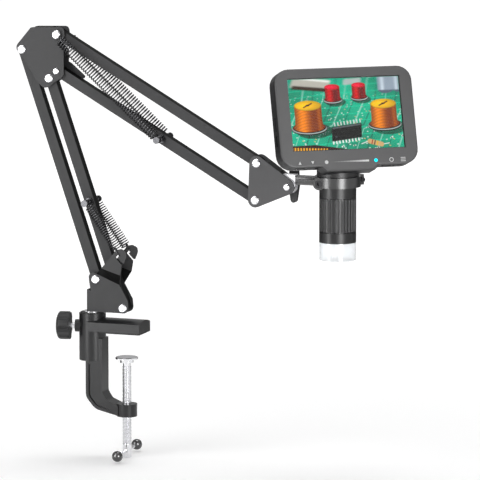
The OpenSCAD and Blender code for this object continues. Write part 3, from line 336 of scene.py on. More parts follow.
def clear(name, tint, rough=0.02, milk=0.0, ior=1.49, haze=0.6, glow=0.0, shine=0.5):
    """Clear plastic or glass with faint flow lines and finger marks, and painted light as a glow where glow
    is given.
    """
    s = Shader(name)
    flow = s.noise(0.18, 3.0, 0.5, (1.0, 1.0, 0.25))
    marks = s.noise(0.5, 4.0, 0.6).ramp(0.55, 0.8)
    return s.surface(
        Base_Color=s.mix(flow.ramp(0.35, 0.7), tint, tuple(c * 0.985 for c in tint)),
        Roughness=(marks * 0.05 * haze + rough).clamp(0.0, 0.6),
        Transmission_Weight=1.0 - milk,
        IOR=ior,
        Specular_IOR_Level=shine,
        Emission_Color=tint,
        Emission_Strength=glow,
        Normal=s.bump(flow, 0.05, 0.02),
    )


def glowing(name, tint, strength, pale=(1.0, 1.0, 1.0)):
    """A small lamp behind a clear dome."""
    s = Shader(name)
    core = s.cells(1.3).ramp(0.0, 0.7, 1.0, 0.0)
    colour = s.mix(core, tint, pale)
    return s.surface(
        Base_Color=colour, Roughness=0.2, Emission_Color=colour, Emission_Strength=strength,
        Normal=s.bump(core, 0.1, 0.02),
    )


def circuit(name, mask, trace):
    """Circuit board: solder mask over traces, with bare pads and fine weave."""
    s = Shader(name)
    lines = s.cells(0.35, "DISTANCE_TO_EDGE").below(0.055)
    pads = s.cells(0.6).below(0.14)
    weave = s.noise(1.6, 3.0)
    colour = s.mix(lines, mask, trace)
    colour = s.mix(pads, colour, (0.75, 0.6, 0.3))
    return s.surface(
        Base_Color=s.mix(weave.ramp(0.3, 0.7) * 0.25, colour, tuple(c * 0.6 for c in mask)),
        Metallic=pads * 0.8,
        Roughness=(weave * 0.15 + 0.28).clamp(0.1, 0.8),
        Normal=s.bump(lines + pads, 0.4, 0.05),
    )


def foil(name, tint):
    """Wrinkled foil of a battery pouch."""
    s = Shader(name)
    folds = s.noise(0.22, 5.0, 0.6)
    creases = s.cells(0.16, "DISTANCE_TO_EDGE").ramp(0.0, 0.1)
    return s.surface(
        Base_Color=s.mix(folds.ramp(0.3, 0.7), tint, tuple(c * 0.8 for c in tint)),
        Metallic=0.85,
        Roughness=(folds * 0.2 + 0.25).clamp(0.1, 0.8),
        Normal=s.bump(folds * 0.7 + creases * 0.3, 0.5, 0.3),
    )


def lit_picture(name, strength):
    """Picture of the display: colours stored on the mesh, with the fine rows and columns of its cells."""
    s = Shader(name)
    stored = s.node("ShaderNodeAttribute", {"attribute_name": "Tone"}, None, "Color")
    waves = 2400.0
    columns, rows = (
        (s.node("ShaderNodeAttribute", {"attribute_name": a}, None, "Fac") * waves).sine() * 0.5 + 0.5
        for a in ("Across", "Along")
    )
    grain = s.noise(1.8, 2.0).ramp(0.3, 0.7)
    shade = (columns * rows * 0.06 + grain * 0.05).clamp()
    black = (0.0, 0.0, 0.0)
    colour = s.mix(shade, stored, black)
    return s.surface(
        Base_Color=s.mix(0.93, colour, black),
        Roughness=0.35,
        Specular_IOR_Level=0.02,
        Emission_Color=colour,
        Emission_Strength=strength,
    )


# Mesh helpers

def mesh_piece(name, points, faces, material, body=None, smooth=True, slot=None):
    mesh = bpy.data.meshes.new(name)
    mesh.from_pydata([tuple(p) for p in points], [], faces)
    mesh.validate()
    mesh.update()
    if smooth:
        mesh.shade_smooth()
    piece = bpy.data.objects.new(name, mesh)
    bpy.context.scene.collection.objects.link(piece)
    mesh.materials.append(material)
    if body:
        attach(piece, body)
    return piece


# Seats of the springs, in metres: the hooks' holes, the hook plates' thickness and rim, the bolts' radius.
# WIRE_OFFSET is the wire's distance from its seat as a share of its diameter, *_ROOM the length of each end
HOOK_AT = Vector((-0.001668, 0, 0.071131))
HOOK_PLATE = 0.0015
HOOK_RIM = 0.0057
SPRING_BOLT_R = 0.002
WIRE_OFFSET = 0.62
PER_CURL = 16
HOOK_ROOM, HANG_ROOM, EYE_ROOM = 0.0052, 0.0068, 0.0048
# Distances from the arm's middle plane at a spring's first seat, where its curls start, and at its bolt
LOWER_ASIDE = (0.0134, 0.0106, 0.0104)
UPPER_ASIDE = (0.00745, 0.0118, 0.0111)
ACROSS = Vector((0, 1, 0))


def tube(path, radius, sides=8):
    """Points and faces of a round wire along path, in frames carried along without twist."""
    count = len(path)
    along = [(path[min(i + 1, count - 1)] - path[max(i - 1, 0)]).normalized() for i in range(count)]
    normal = along[0].orthogonal().normalized()
    points = []
    for i in range(count):
        normal = (normal - along[i] * normal.dot(along[i])).normalized()
        across = along[i].cross(normal)
        for k in range(sides):
            a = 2 * math.pi * k / sides
            points.append(path[i] + (normal * math.cos(a) + across * math.sin(a)) * radius)
    faces = [
        (i * sides + k, i * sides + (k + 1) % sides, (i + 1) * sides + (k + 1) % sides, (i + 1) * sides + k)
        for i in range(count - 1) for k in range(sides)
    ]
    faces.append(tuple(range(sides))[::-1])
    faces.append(tuple(range((count - 1) * sides, count * sides)))
    return points, faces


def bridge(a, a_dir, b, b_dir, steps=8):
    """Smooth run from a to b that leaves along a_dir and arrives along b_dir."""
    reach = (b - a).length * 0.55
    p1, p2 = a + a_dir * reach, b - b_dir * reach
    return [
        a * (1 - t) ** 3 + p1 * 3 * t * (1 - t) ** 2 + p2 * 3 * t * t * (1 - t) + b * t ** 3
        for t in (k / steps for k in range(1, steps))
    ]


def bolt_eye(at, toward, wire):
    """End loop of a spring round a bolt along Y, from its free tip, and the direction in which it leaves."""
    up = toward.cross(ACROSS).normalized()
    r = SPRING_BOLT_R + wire * WIRE_OFFSET
    turn = [math.radians(a) for a in range(50, 361, 12)]
    ring = [at + (toward * math.cos(a) + up * math.sin(a)) * r for a in turn]
    ring.append(at + toward * r)
    return ring, up


def plate_hook(at, toward, wire, inward):
    """End of a spring that passes through a hook plate's hole and back along both faces of the plate."""
    rim = HOOK_RIM
    side = Vector((0, inward, 0)) * (HOOK_PLATE / 2 + wire * WIRE_OFFSET)
    bend = [math.radians(a) for a in range(-90, 91, 15)]
    tip = [at + toward * (rim + wire) - side, at + toward * rim * 0.5 - side]
    arc = [at - toward * math.cos(a) * side.length * 0.6 + side * math.sin(a) for a in bend]
    return [*tip, *arc, at + toward * rim * 0.5 + side, at + toward * (rim + wire * 0.5) + side], toward


def spring_path(start, start_dir, end, end_dir, low, high, coil_r, curls):
    """Whole wire: the first end, the curls along the line from low to high, and the second end."""
    along = (high - low).normalized()
    first = start[-1] - low
    first = first - along * first.dot(along)
    first = first.normalized() if first.length > 1e-5 else along.cross(ACROSS).normalized()
    second = along.cross(first)
    count = curls * PER_CURL
    turn = [2 * math.pi * i / PER_CURL for i in range(count + 1)]
    coil = [
        low + (high - low) * (i / count) + (first * math.cos(a) + second * math.sin(a)) * coil_r
        for i, a in enumerate(turn)
    ]
    into = (coil[1] - coil[0]).normalized()
    out = (coil[-1] - coil[-2]).normalized()
    return [
        *start, *bridge(start[-1], start_dir.normalized(), coil[0], into), *coil,
        *bridge(coil[-1], out, end[-1], -end_dir.normalized()), *reversed(end),
    ]


def disc(u, v, r, count=28):
    return [(u + r * math.cos(2 * math.pi * k / count), v + r * math.sin(2 * math.pi * k / count))
            for k in range(count)]


# Picture of the display

class Canvas:
    """A small picture made of soft-edged shapes, in millimetres from the middle of the display."""

    def __init__(self, width, height, cell):
        across, up = int(width / cell) + 1, int(height / cell) + 1
        self.u, self.v = np.meshgrid(
            np.linspace(-width / 2, width / 2, across), np.linspace(-height / 2, height / 2, up)
        )
        self.tone = np.zeros((up, across, 3))
        self.soft = cell * 1.1
        self.random = np.random.default_rng(7)

    def paint(self, inside, colour, strength=1.0):
        """Colours where inside, a signed distance in millimetres, is below zero."""
        cover = np.clip(0.5 - inside / self.soft, 0, 1) * strength
        colour = np.asarray(colour, float)
        self.tone = self.tone * (1 - cover[..., None]) + colour * cover[..., None]

    def box(self, u, v, w, h, angle=0.0, slant=0.0, corner=0.0):
        c, s = math.cos(math.radians(angle)), math.sin(math.radians(angle))
        du, dv = self.u - u, self.v - v
        y = dv * c - du * s
        x = du * c + dv * s - y * slant
        qx, qy = np.abs(x) - w / 2 + corner, np.abs(y) - h / 2 + corner
        return np.hypot(np.maximum(qx, 0), np.maximum(qy, 0)) + np.minimum(np.maximum(qx, qy), 0) - corner

    def oval(self, u, v, a, b):
        return (np.hypot((self.u - u) / a, (self.v - v) / b) - 1) * min(a, b)

    def line(self, points, width):
        nearest = np.full_like(self.u, 1e6)
        for (x0, y0), (x1, y1) in zip(points, points[1:]):
            dx, dy = x1 - x0, y1 - y0
            t = np.clip(((self.u - x0) * dx + (self.v - y0) * dy) / (dx * dx + dy * dy), 0, 1)
            nearest = np.minimum(nearest, np.hypot(self.u - x0 - dx * t, self.v - y0 - dy * t))
        return nearest - width / 2

    def drum(self, u, v, r, tall, body, cap, flare):
        """A round part that stands on the board, lit from the upper left."""
        squat = 0.36
        shadow = self.oval(u + r * 0.35, v - r * 0.12, r * 1.35, r * 0.55)
        self.paint(shadow, (0.005, 0.03, 0.03), 0.75)
        self.paint(self.oval(u, v + 0.4, r * (1.16 + flare), r * squat * 1.2), (0.02, 0.02, 0.022))
        self.paint(self.oval(u, v + 1.1, r * (1.12 + flare), r * squat * 1.12), (0.55, 0.62, 0.6))
        self.paint(self.oval(u, v + 1.7, r * (1.1 + flare), r * squat * 1.1), (0.03, 0.03, 0.03))
        lean = 1.0 + flare * np.clip((v + tall * 0.4 - self.v) / tall, 0, 1)
        x = (self.u - u) / (r * lean)
        shade = 0.32 + 0.95 * np.exp(-((x + 0.42) / 0.4) ** 2) + 0.22 * np.exp(-((x - 0.78) / 0.14) ** 2)
        wall = np.maximum(np.abs(x) * r - r, np.maximum(v + 2.2 - self.v, self.v - v - tall))
        foot = self.oval(u, v + 2.2, r * (1 + flare), r * squat)
        side = np.minimum(wall, foot)
        grooves = 0.88 + 0.12 * np.cos((self.v - v + (x * x - 1) * r * squat) * 2.4)
        self.paint(side, np.asarray(body) * (shade * grooves)[..., None])
        rim = self.oval(u, v + tall, r, r * squat)
        self.paint(rim, np.asarray(cap) * 0.55)
        off = np.hypot((self.u - u + r * 0.3) / r, (self.v - v - tall) / (r * squat))
        glint = np.clip(1.25 - 0.5 * off, 0, 2)[..., None]
        self.paint(self.oval(u, v + tall + 0.25, r * 0.95, r * squat * 0.93), np.asarray(cap) * glint)

    def blur(self, strength):
        """Softens the rows near the top, as a lens does to what lies far behind."""
        far = np.clip((self.v - 12) / 16, 0, 1)[..., None] * strength
        for _ in range(5):
            near = self.tone
            wide = sum(np.roll(near, step, axis) for step, axis in ((2, 1), (-2, 1), (1, 0), (-1, 0))) / 4
            self.tone = near * (1 - far) + wide * far


def board_close_up(width, height, cell):
    """A generic close view of a circuit board with drum coils, round capacitors, a chip and its tracks."""
    c = Canvas(width, height, cell)
    rng = c.random
    green, pale, deep = (0.0, 0.46, 0.28), (0.72, 0.95, 0.86), (0.0, 0.16, 0.12)
    c.tone[:] = np.asarray(green) * (0.86 + 0.2 * np.sin(c.u * 0.06 + c.v * 0.09))[..., None]
    # Tracks that run away from the viewer, with bends
    for k in range(15):
        u0 = -70 + k * 9.5
        path = [(u0, -34), (u0 + 9, -14), (u0 + 19, -10), (u0 + 31, 12), (u0 + 36, 34)]
        tone, strength = (deep, 0.75) if k % 2 else (pale, 0.35)
        c.paint(c.line(path, 1.4 - k % 3 * 0.3), tone, strength)
    for k in range(9):
        v0 = -26 + k * 6.2
        c.paint(c.line([(-54, v0 - 4), (-20, v0), (54, v0 + 3)], 0.5), (0.0, 0.72, 0.42), 0.7)
    # Pads and small parts scattered between the tracks
    for _ in range(210):
        u, v = rng.uniform(-53, 53), rng.uniform(-32, 20)
        near = 1.0 - (v + 32) / 90
        kind = rng.integers(0, 5)
        if kind < 3:
            c.paint(c.oval(u, v, 0.75 * near, 0.45 * near), (0.86, 0.92, 0.88), 0.9)
        elif kind == 3:
            c.paint(c.box(u, v, 2.6 * near, 1.1 * near, 8), (0.9, 0.94, 0.9), 0.9)
            c.paint(c.box(u, v, 1.4 * near, 1.2 * near, 8), (0.05, 0.04, 0.035), 0.9)
        else:
            c.paint(c.box(u, v, 1.8 * near, 0.8 * near, -24), (0.75, 0.5, 0.2), 0.9)
    # Far parts: a pale connector and grey cans
    c.paint(c.box(-30, 27, 34, 9, -6, 0.3, 0.6), (0.52, 0.5, 0.44))
    c.paint(c.box(-30, 22.5, 34, 3.4, -6, 0.3, 0.3), (0.07, 0.05, 0.04))
    c.paint(c.line([(-48, 33), (-13, 28.5)], 1.6), (0.92, 0.92, 0.88))
    for u, r in ((38, 7), (50, 5.4)):
        c.paint(c.oval(u, 20, r, r * 0.5), (0.12, 0.15, 0.2))
        c.paint(np.maximum(np.abs(c.u - u) - r, np.abs(c.v - 26) - 6.5), (0.32, 0.38, 0.46))
        c.paint(np.maximum(np.abs(c.u - u + r * 0.4) - r * 0.2, np.abs(c.v - 26) - 6.5), (0.62, 0.7, 0.78))
    c.paint(c.box(8, 28, 16, 5, 4, 0.2, 0.8), (0.45, 0.52, 0.5))
    c.blur(0.85)
    # Chip with its row of legs
    for k in range(9):
        c.paint(c.box(-13.5 + k * 2.9, -24.6 + k * 0.32, 1.2, 4.2, 6), (0.86, 0.88, 0.86))
        c.paint(c.box(-11.0 + k * 2.9, -9.2 + k * 0.32, 1.0, 3.2, 6), (0.7, 0.73, 0.72))
    c.paint(c.box(-0.6, -16.4, 27.5, 12.5, 6.3, 0.16, 0.8), (0.025, 0.028, 0.03))
    c.paint(c.box(-0.3, -11.2, 26, 1.2, 6.3, 0.16), (0.13, 0.14, 0.15))
    c.paint(c.oval(-10.3, -20.2, 0.9, 0.6), (0.1, 0.11, 0.12))
    # Near edge of the board with gold contacts
    edge = c.v - (-27 + (c.u + 53) * 0.02)
    corner = np.maximum(edge, c.u - 4) + np.clip(c.u + 30, 0, None) * 0.18
    c.paint(corner, (0.06, 0.028, 0.01))
    for k in range(13):
        u = -51 + k * 2.6
        c.paint(c.box(u, -30 - 0.05 * k, 1.4, 3.6 - k * 0.2, 4, 0.1, 0.4), (0.95, 0.45, 0.06))
    # Round parts
    c.drum(-10.5, 11, 6.8, 12.5, (0.62, 0.012, 0.035), (0.85, 0.03, 0.07), 0.1)
    c.drum(13.5, 12.5, 6.2, 12.0, (0.62, 0.012, 0.03), (0.85, 0.04, 0.07), 0.1)
    c.drum(-34, -13, 12.2, 21, (0.85, 0.24, 0.012), (0.98, 0.55, 0.03), 0.16)
    c.drum(34.5, -12, 11.6, 19.5, (0.85, 0.24, 0.012), (0.98, 0.55, 0.03), 0.16)
    # Slots across the caps of the drums
    for u, v in ((-34, 8.2), (34.5, 7.7)):
        c.paint(c.box(u, v, 9, 1.1, 24, 0, 0.4), (0.12, 0.045, 0.0))
        c.paint(c.oval(u, v, 1.7, 0.75), (0.05, 0.02, 0.0))
    # A striped resistor in front
    c.paint(c.line([(12, -27), (19, -24.6), (31, -28), (37, -27.2)], 0.7), (0.8, 0.82, 0.8))
    c.paint(c.line([(19.5, -25), (30, -28)], 4.2), (0.66, 0.42, 0.2))
    for t, colour in ((0.2, (0.4, 0.02, 0.02)), (0.42, (0.02, 0.02, 0.02)), (0.64, (0.8, 0.5, 0.02))):
        u, v = 19.5 + 10.5 * t, -25 - 3 * t
        c.paint(c.box(u, v, 0.9, 4.1, -16), colour)
    # The pane's reflections lift the darkest tones, so they start lower here
    c.tone[:] = (c.tone * 1.06 - 0.04).clip(0.0, 1.0)
    return c


# Settings

class SpringSettings(bpy.types.PropertyGroup):
    upper_curls: bpy.props.IntProperty(
        name="Upper Curls", description="Curls of each spring on the upper arm", default=48, min=12, max=60)
    lower_curls: bpy.props.IntProperty(
        name="Lower Curls", description="Curls of each spring on the lower arm", default=21, min=8, max=30)
    wire: bpy.props.FloatProperty(
        name="Wire", description="Diameter of the spring wire", default=0.00105, min=0.0008, max=0.002,
        unit="LENGTH", precision=4)
    outer: bpy.props.FloatProperty(
        name="Upper Outer Diameter", description="Outer diameter of the upper arm's curls", default=0.0102,
        min=0.008, max=0.0102, unit="LENGTH", precision=4)
    lower_outer: bpy.props.FloatProperty(
        name="Lower Outer Diameter", description="Outer diameter of the lower arm's curls", default=0.009,
        min=0.008, max=0.0102, unit="LENGTH", precision=4)


class PaintSettings(bpy.types.PropertyGroup):
    arm: bpy.props.FloatVectorProperty(
        name="Arm", description="Powder coat of the arm tubes and brackets", subtype="COLOR", size=3,
        default=(0.09, 0.09, 0.092), min=0, max=1)
    # Edge is painted shade: the dark tone of the arm's faces that don't look to the front or rear
    edge: bpy.props.FloatVectorProperty(
        name="Edge", description="Tone of the arm's faces that don't look to the front or rear",
        subtype="COLOR", size=3, default=(0.004, 0.004, 0.004), min=0, max=1)
    cast: bpy.props.FloatVectorProperty(
        name="Casting", description="Enamel of the desk clamp", subtype="COLOR", size=3,
        default=(0.018, 0.018, 0.019), min=0, max=1)
    case: bpy.props.FloatVectorProperty(
        name="Casing", description="Plastic of the scope and of the display's rear", subtype="COLOR", size=3,
        default=(0.012, 0.012, 0.013), min=0, max=1)
    face: bpy.props.FloatVectorProperty(
        name="Front", description="Plastic of the display's front frame", subtype="COLOR", size=3,
        default=(0.115, 0.115, 0.117), min=0, max=1)
    metal: bpy.props.FloatVectorProperty(
        name="Plating", description="Tint of the plated bolts and screws", subtype="COLOR", size=3,
        default=(0.78, 0.78, 0.8), min=0, max=1)


class DisplaySettings(bpy.types.PropertyGroup):
    brightness: bpy.props.FloatProperty(
        name="Brightness", description="Strength of the lit picture", default=1.0, min=0, max=3)
    cell: bpy.props.FloatProperty(
        name="Cell", description="Size of the picture's colour cells, in millimetres",
        default=0.34, min=0.2, max=1)
    lamp: bpy.props.FloatProperty(
        name="Lamps", description="Strength of the lamps round the lens", default=3.0, min=0, max=20)
    marks: bpy.props.FloatVectorProperty(
        name="Marks", description="Ink of the printed marks", subtype="COLOR", size=3,
        default=(0.9, 0.9, 0.9), min=0, max=1)
    signal: bpy.props.FloatVectorProperty(
        name="Signal", description="Colour of the indicator light", subtype="COLOR", size=3,
        default=(0.0, 0.72, 0.85), min=0, max=1)


class StageSettings(bpy.types.PropertyGroup):
    azimuth: bpy.props.FloatProperty(
        name="Azimuth", description="Camera's turn about the object",
        default=math.radians(20), subtype="ANGLE")
    elevation: bpy.props.FloatProperty(
        name="Elevation", description="Camera's angle above the horizon",
        default=math.radians(8.5), subtype="ANGLE")
    distance: bpy.props.FloatProperty(
        name="Distance", description="Camera's distance from its target", default=4.589, unit="LENGTH")
    lens: bpy.props.FloatProperty(
        name="Lens", description="Focal length", default=393.75, subtype="DISTANCE_CAMERA")
    target: bpy.props.FloatVectorProperty(
        name="Target", description="Point at the picture's middle", default=(0.1065, 0.0, 0.0878),
        subtype="TRANSLATION", unit="LENGTH", size=3)
    light: bpy.props.FloatProperty(
        name="Light", description="Level of all the lamps", default=1.0, min=0, max=3)
    floor: bpy.props.FloatVectorProperty(
        name="Floor", description="Colour of the floor", subtype="COLOR", size=3,
        default=(0.88, 0.88, 0.88), min=0, max=1)


def settings(context):
    return context.scene.microscope_looks


class LooksSettings(bpy.types.PropertyGroup):
    springs: bpy.props.PointerProperty(
        name="Springs", description="Sizes of the balance springs", type=SpringSettings)
    paint: bpy.props.PointerProperty(
        name="Paint", description="Colours of the materials", type=PaintSettings)
    display: bpy.props.PointerProperty(
        name="Display", description="Picture, marks and lamps", type=DisplaySettings)
    stage: bpy.props.PointerProperty(
        name="Stage", description="Camera, floor and lights", type=StageSettings)


# The display's front. In metres: depth of its pale skin, gap from the glass to the picture, half the ink's
# thickness. In millimetres: the picture's margin, the drop from the glass to the row of marks, their places
FRONT_SKIN = 0.0012
PICTURE_GAP = 0.00008
INK_HALF = 0.00004
PICTURE_MARGIN = 7.4
MARK_DROP = 7.3
UP_AT, DOWN_AT, DOT_AT, BAR_AT, SIGNAL_AT, RING_AT, MENU_AT = -46.0, -34.5, -22.0, -17.6, 22.7, 36.9, 47.5
MARK_HALF = 1.3
DOT_R = 1.6
BAR_LENGTH = 34.0
BAR_STEPS = 12

# Lamps of the stage: name, place, width and height in metres, watts. The panels show in reflections only
SOFT_BOXES = (
    ("key", (-1.1, -1.7, 2.1), (1.5, 1.5), 22.0),
    ("top", (0.1, 0.4, 2.4), (1.1, 1.1), 22.0),
)
PANELS = (
    ("left_panel", (-0.44, -0.77, 0.19), (0.28, 0.56), 5.0),
    ("right_panel", (0.74, -0.67, 0.17), (0.34, 0.58), 7.0),
)
PANELS_AIM = 0.19
FLOOR_HALF = 16.0
FLOOR_GAP = 0.0005
REARWARD = (-0.34, 0.94, 0)
FRONTWARD = (0.34, -0.93, 0.15)
FILL_LIGHT = 0.45


# Operators

def dress(material, *nodes):
    for node in nodes:
        mesh = frame["nodes"][node].data
        mesh.materials.clear()
        mesh.materials.append(material)


def scaled(colour, factor):
    return tuple(min(1.0, c * factor) for c in colour)


class LOOKS_OT_clamp(bpy.types.Operator):
    """Enamel, rubber and plating of the desk clamp and its lock knob"""
    bl_idname = "looks.clamp"
    bl_label = "Dress Desk Clamp"

    def execute(self, context):
        p = settings(context).paint
        dress(painted("cast_enamel", tuple(p.cast), scaled(p.cast, 1.3), 0.3, 1.6, 0.03, 0.1, shine=0.4),
              "clamp_frame")
        dress(rubbery("jaw_rubber", (0.02, 0.02, 0.02), (0.035, 0.035, 0.035)), "jaw_pad")
        dress(moulded("bush_plastic", (0.016, 0.016, 0.016), (0.024, 0.024, 0.024), 0.45), "post_bush")
        dress(plated("screw_plating", scaled(p.metal, 1.15), 0.1, (1, 1, 0.05), 0.03),
              "clamp_screw", "lock_stud", "swivel_post", "pressure_pad", "tommy_bar")
        dress(moulded("ball_plastic", (0.004, 0.004, 0.005), (0.007, 0.007, 0.008), 0.24, 4.0, 0.006, 1.0,
                      shine=1.0), "tommy_balls")
        dress(moulded("knob_plastic", (0.012, 0.012, 0.013), (0.02, 0.02, 0.021), 0.5, 2.6, 0.05),
              "lock_knob")
        dress(plated("shoe_brass", (0.85, 0.66, 0.32), 0.22), "lock_shoe")
        return {"FINISHED"}


class LOOKS_OT_arm(bpy.types.Operator):
    """Powder coat of the tubes and brackets with painted shade on their sides, plating of the bolts and nuts
    """
    bl_idname = "looks.arm"
    bl_label = "Dress Arm"

    def execute(self, context):
        p = settings(context).paint
        # The edge tone given to each coat below is painted shade on the sides of the tubes and brackets
        edge = tuple(p.edge)
        dress(painted("arm_coat", tuple(p.arm), scaled(p.arm, 1.1), 0.5, 2.4, 0.02, 0.0, edge, 0.08),
              "lower_front_tube", "lower_rear_tube", "upper_top_tube", "upper_low_tube")
        dress(painted("bracket_coat", tuple(p.arm), scaled(p.arm, 1.1), 0.46, 2.4, 0.02, 0.0, edge, 0.1),
              "base_bracket", "elbow_bracket")
        # The end bracket's coat is the arm coat painted lighter, as painted light
        dress(painted("end_coat_painted_lighter", scaled(p.arm, 1.6), scaled(p.arm, 1.75), 0.46, 2.4, 0.02, 0.0, edge, 0.12),
              "end_bracket")
        dress(plated("bolt_plating", scaled(p.metal, 1.2), 0.22, smear=0.03),
              "base_bolts", "elbow_bolts", "end_bolts", "tip_bolt")
        dress(plated("nut_plating", scaled(p.metal, 0.92), 0.22, smear=0.12),
              "base_nuts", "elbow_nuts", "end_nuts")
        dress(plated("spring_bolt_black", (0.09, 0.09, 0.095), 0.3),
              "lower_spring_bolt", "upper_spring_bolt")
        dress(moulded("washer_plastic", (0.014, 0.014, 0.014), (0.022, 0.022, 0.022), 0.4),
              "base_washers", "elbow_washers", "end_washers")
        dress(moulded("bush_sleeves", (0.02, 0.02, 0.02), (0.03, 0.03, 0.03), 0.42),
              "lower_front_bushes", "lower_rear_bushes", "upper_top_bushes", "upper_low_bushes")
        return {"FINISHED"}


class LOOKS_OT_springs(bpy.types.Operator):
    """Four balance springs with their hooks, in place of the plain ones"""
    bl_idname = "looks.springs"
    bl_label = "Wind Springs"

    def execute(self, context):
        s = settings(context).springs
        wire, black = s.wire, plated("spring_wire", (0.09, 0.09, 0.094), 0.2, smear=0.1)
        low_bolt, high_bolt = centre("lower_spring_bolt"), centre("upper_spring_bolt")
        hang = joint("upper_raise")
        for side, place in ((-1, "near"), (1, "far")):
            a, run, b = self.beside(side, LOWER_ASIDE, HOOK_AT, HOOK_AT, low_bolt)
            d = (b - run).normalized()
            piece = self.wind(f"lower_spring_{place}", black, wire, plate_hook(a, d, wire, -side), b,
                              run + d * HOOK_ROOM, d, s.lower_outer, s.lower_curls)
            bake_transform(piece)
            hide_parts("lower_springs")
            a, run, b = self.beside(side, UPPER_ASIDE, hang, hang, high_bolt)
            d = (b - run).normalized()
            piece = self.wind(f"upper_spring_{place}", black, wire, bolt_eye(a, d, wire), b,
                              run + d * HANG_ROOM, d, s.outer, s.upper_curls)
            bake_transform(piece)
            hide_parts("upper_springs")
        return {"FINISHED"}

    def beside(self, side, distances, *points):
        """Each point moved to its distance from the middle plane, on the near side or the far one."""
        return [Vector((point.x, side * y, point.z)) for point, y in zip(points, distances)]

    def wind(self, name, material, wire, first, bolt, curls_from, d, outer, curls):
        """One spring, from its first end and the place where its curls start to the eye round its bolt."""
        last = bolt_eye(bolt, -d, wire)
        path = spring_path(*first, *last, curls_from, bolt - d * EYE_ROOM, (outer - wire) / 2, curls)
        return mesh_piece(name, *tube(path, wire / 2), material, slot="spring_steel")


class LOOKS_OT_holder(bpy.types.Operator):
    """Plating of the knuckle, paint of the stem and collar, plastic of the wing handle"""
    bl_idname = "looks.holder"
    bl_label = "Dress Scope Holder"

    def execute(self, context):
        p = settings(context).paint
        dress(plated("knuckle_plating", scaled(p.metal, 1.15), 0.4), "knuckle")
        dress(moulded("wing_plastic", (0.02, 0.02, 0.021), (0.03, 0.03, 0.031), 0.3, 4.0, 0.012, 0.3),
              "wing_handle")
        dress(painted("stem_satin", (0.025, 0.025, 0.026), (0.035, 0.035, 0.036), 0.24, 3.0, 0.01, 0.8,
                      shine=0.9), "stem")
        dress(painted("collar_satin", scaled(p.case, 0.8), scaled(p.case, 1.2), 0.32, 2.6, 0.01, 0.4,
                      shine=0.8), "collar")
        dress(plated("black_screws", (0.05, 0.05, 0.052), 0.3), "collar_bolts")
        return {"FINISHED"}


class LOOKS_OT_scope(bpy.types.Operator):
    """Materials of the barrel, its rings, lens, lamps and clear tip"""
    bl_idname = "looks.scope"
    bl_label = "Dress Scope"

    def execute(self, context):
        p, d = settings(context).paint, settings(context).display
        dress(moulded("barrel_satin", scaled(p.case, 0.6), tuple(p.case), 0.36, 5.0, 0.006),
              "barrel_housing", "lamp_ring")
        # The focus ring's flutes carry painted shade and painted highlights
        dress(fluted("ring_grip", scaled(p.case, 0.3), scaled(p.case, 3.2), SCOPE_AT, 32), "focus_ring")
        dress(painted("cell_black", (0.02, 0.02, 0.02), (0.03, 0.03, 0.03), 0.5), "lens_cell")
        dress(clear("lens_coating", (0.86, 0.93, 1.0), 0.01, ior=1.52), "objective_lens")
        dress(circuit("lamp_circuit", (0.02, 0.12, 0.05), (0.05, 0.22, 0.1)), "lamp_board")
        dress(circuit("sensor_circuit", (0.01, 0.08, 0.04), (0.04, 0.18, 0.09)), "sensor_board")
        dress(glowing("lamp_glow", (1.0, 0.97, 0.9), d.lamp), "lamp_set")
        # The clear tip's faint glow is painted light
        dress(clear("tip_clear_painted_glow", (0.97, 0.985, 1.0), 0.12, 0.4, glow=0.15), "clear_tip")
        return {"FINISHED"}


class LOOKS_OT_display(bpy.types.Operator):
    """Plastic of the display head and its buttons, its glass and what lies behind it"""
    bl_idname = "looks.display"
    bl_label = "Dress Display Head"

    def execute(self, context):
        p = settings(context).paint
        rear = head_axes()[1]
        parting = head_matrix().translation.dot(rear) + head_box("front_bezel")[0].y + FRONT_SKIN
        behind = (rear, parting, tuple(p.case))
        dress(moulded("front_satin", tuple(p.face), scaled(p.face, 1.08), 0.42, 4.5, 0.012, 0.0, behind),
              "front_bezel")
        dress(moulded("case_satin", tuple(p.case), scaled(p.case, 1.6), 0.4, 3.2, 0.02), "rear_cover")
        dress(clear("pane_glass", (0.985, 1.0, 0.995), 0.0, ior=1.45, haze=0.2, shine=0.12), "cover_glass")
        dress(moulded("panel_black", (0.006, 0.007, 0.008), (0.01, 0.011, 0.012), 0.3), "display_panel")
        dress(circuit("main_circuit", (0.01, 0.1, 0.05), (0.04, 0.2, 0.1)), "main_board")
        dress(foil("battery_foil", (0.6, 0.61, 0.63)), "battery")
        dress(moulded("key_plastic", (0.04, 0.04, 0.041), (0.055, 0.055, 0.056), 0.3, 5.0, 0.01, 0.3),
              "button_up", "button_down", "button_ok", "button_menu")
        return {"FINISHED"}


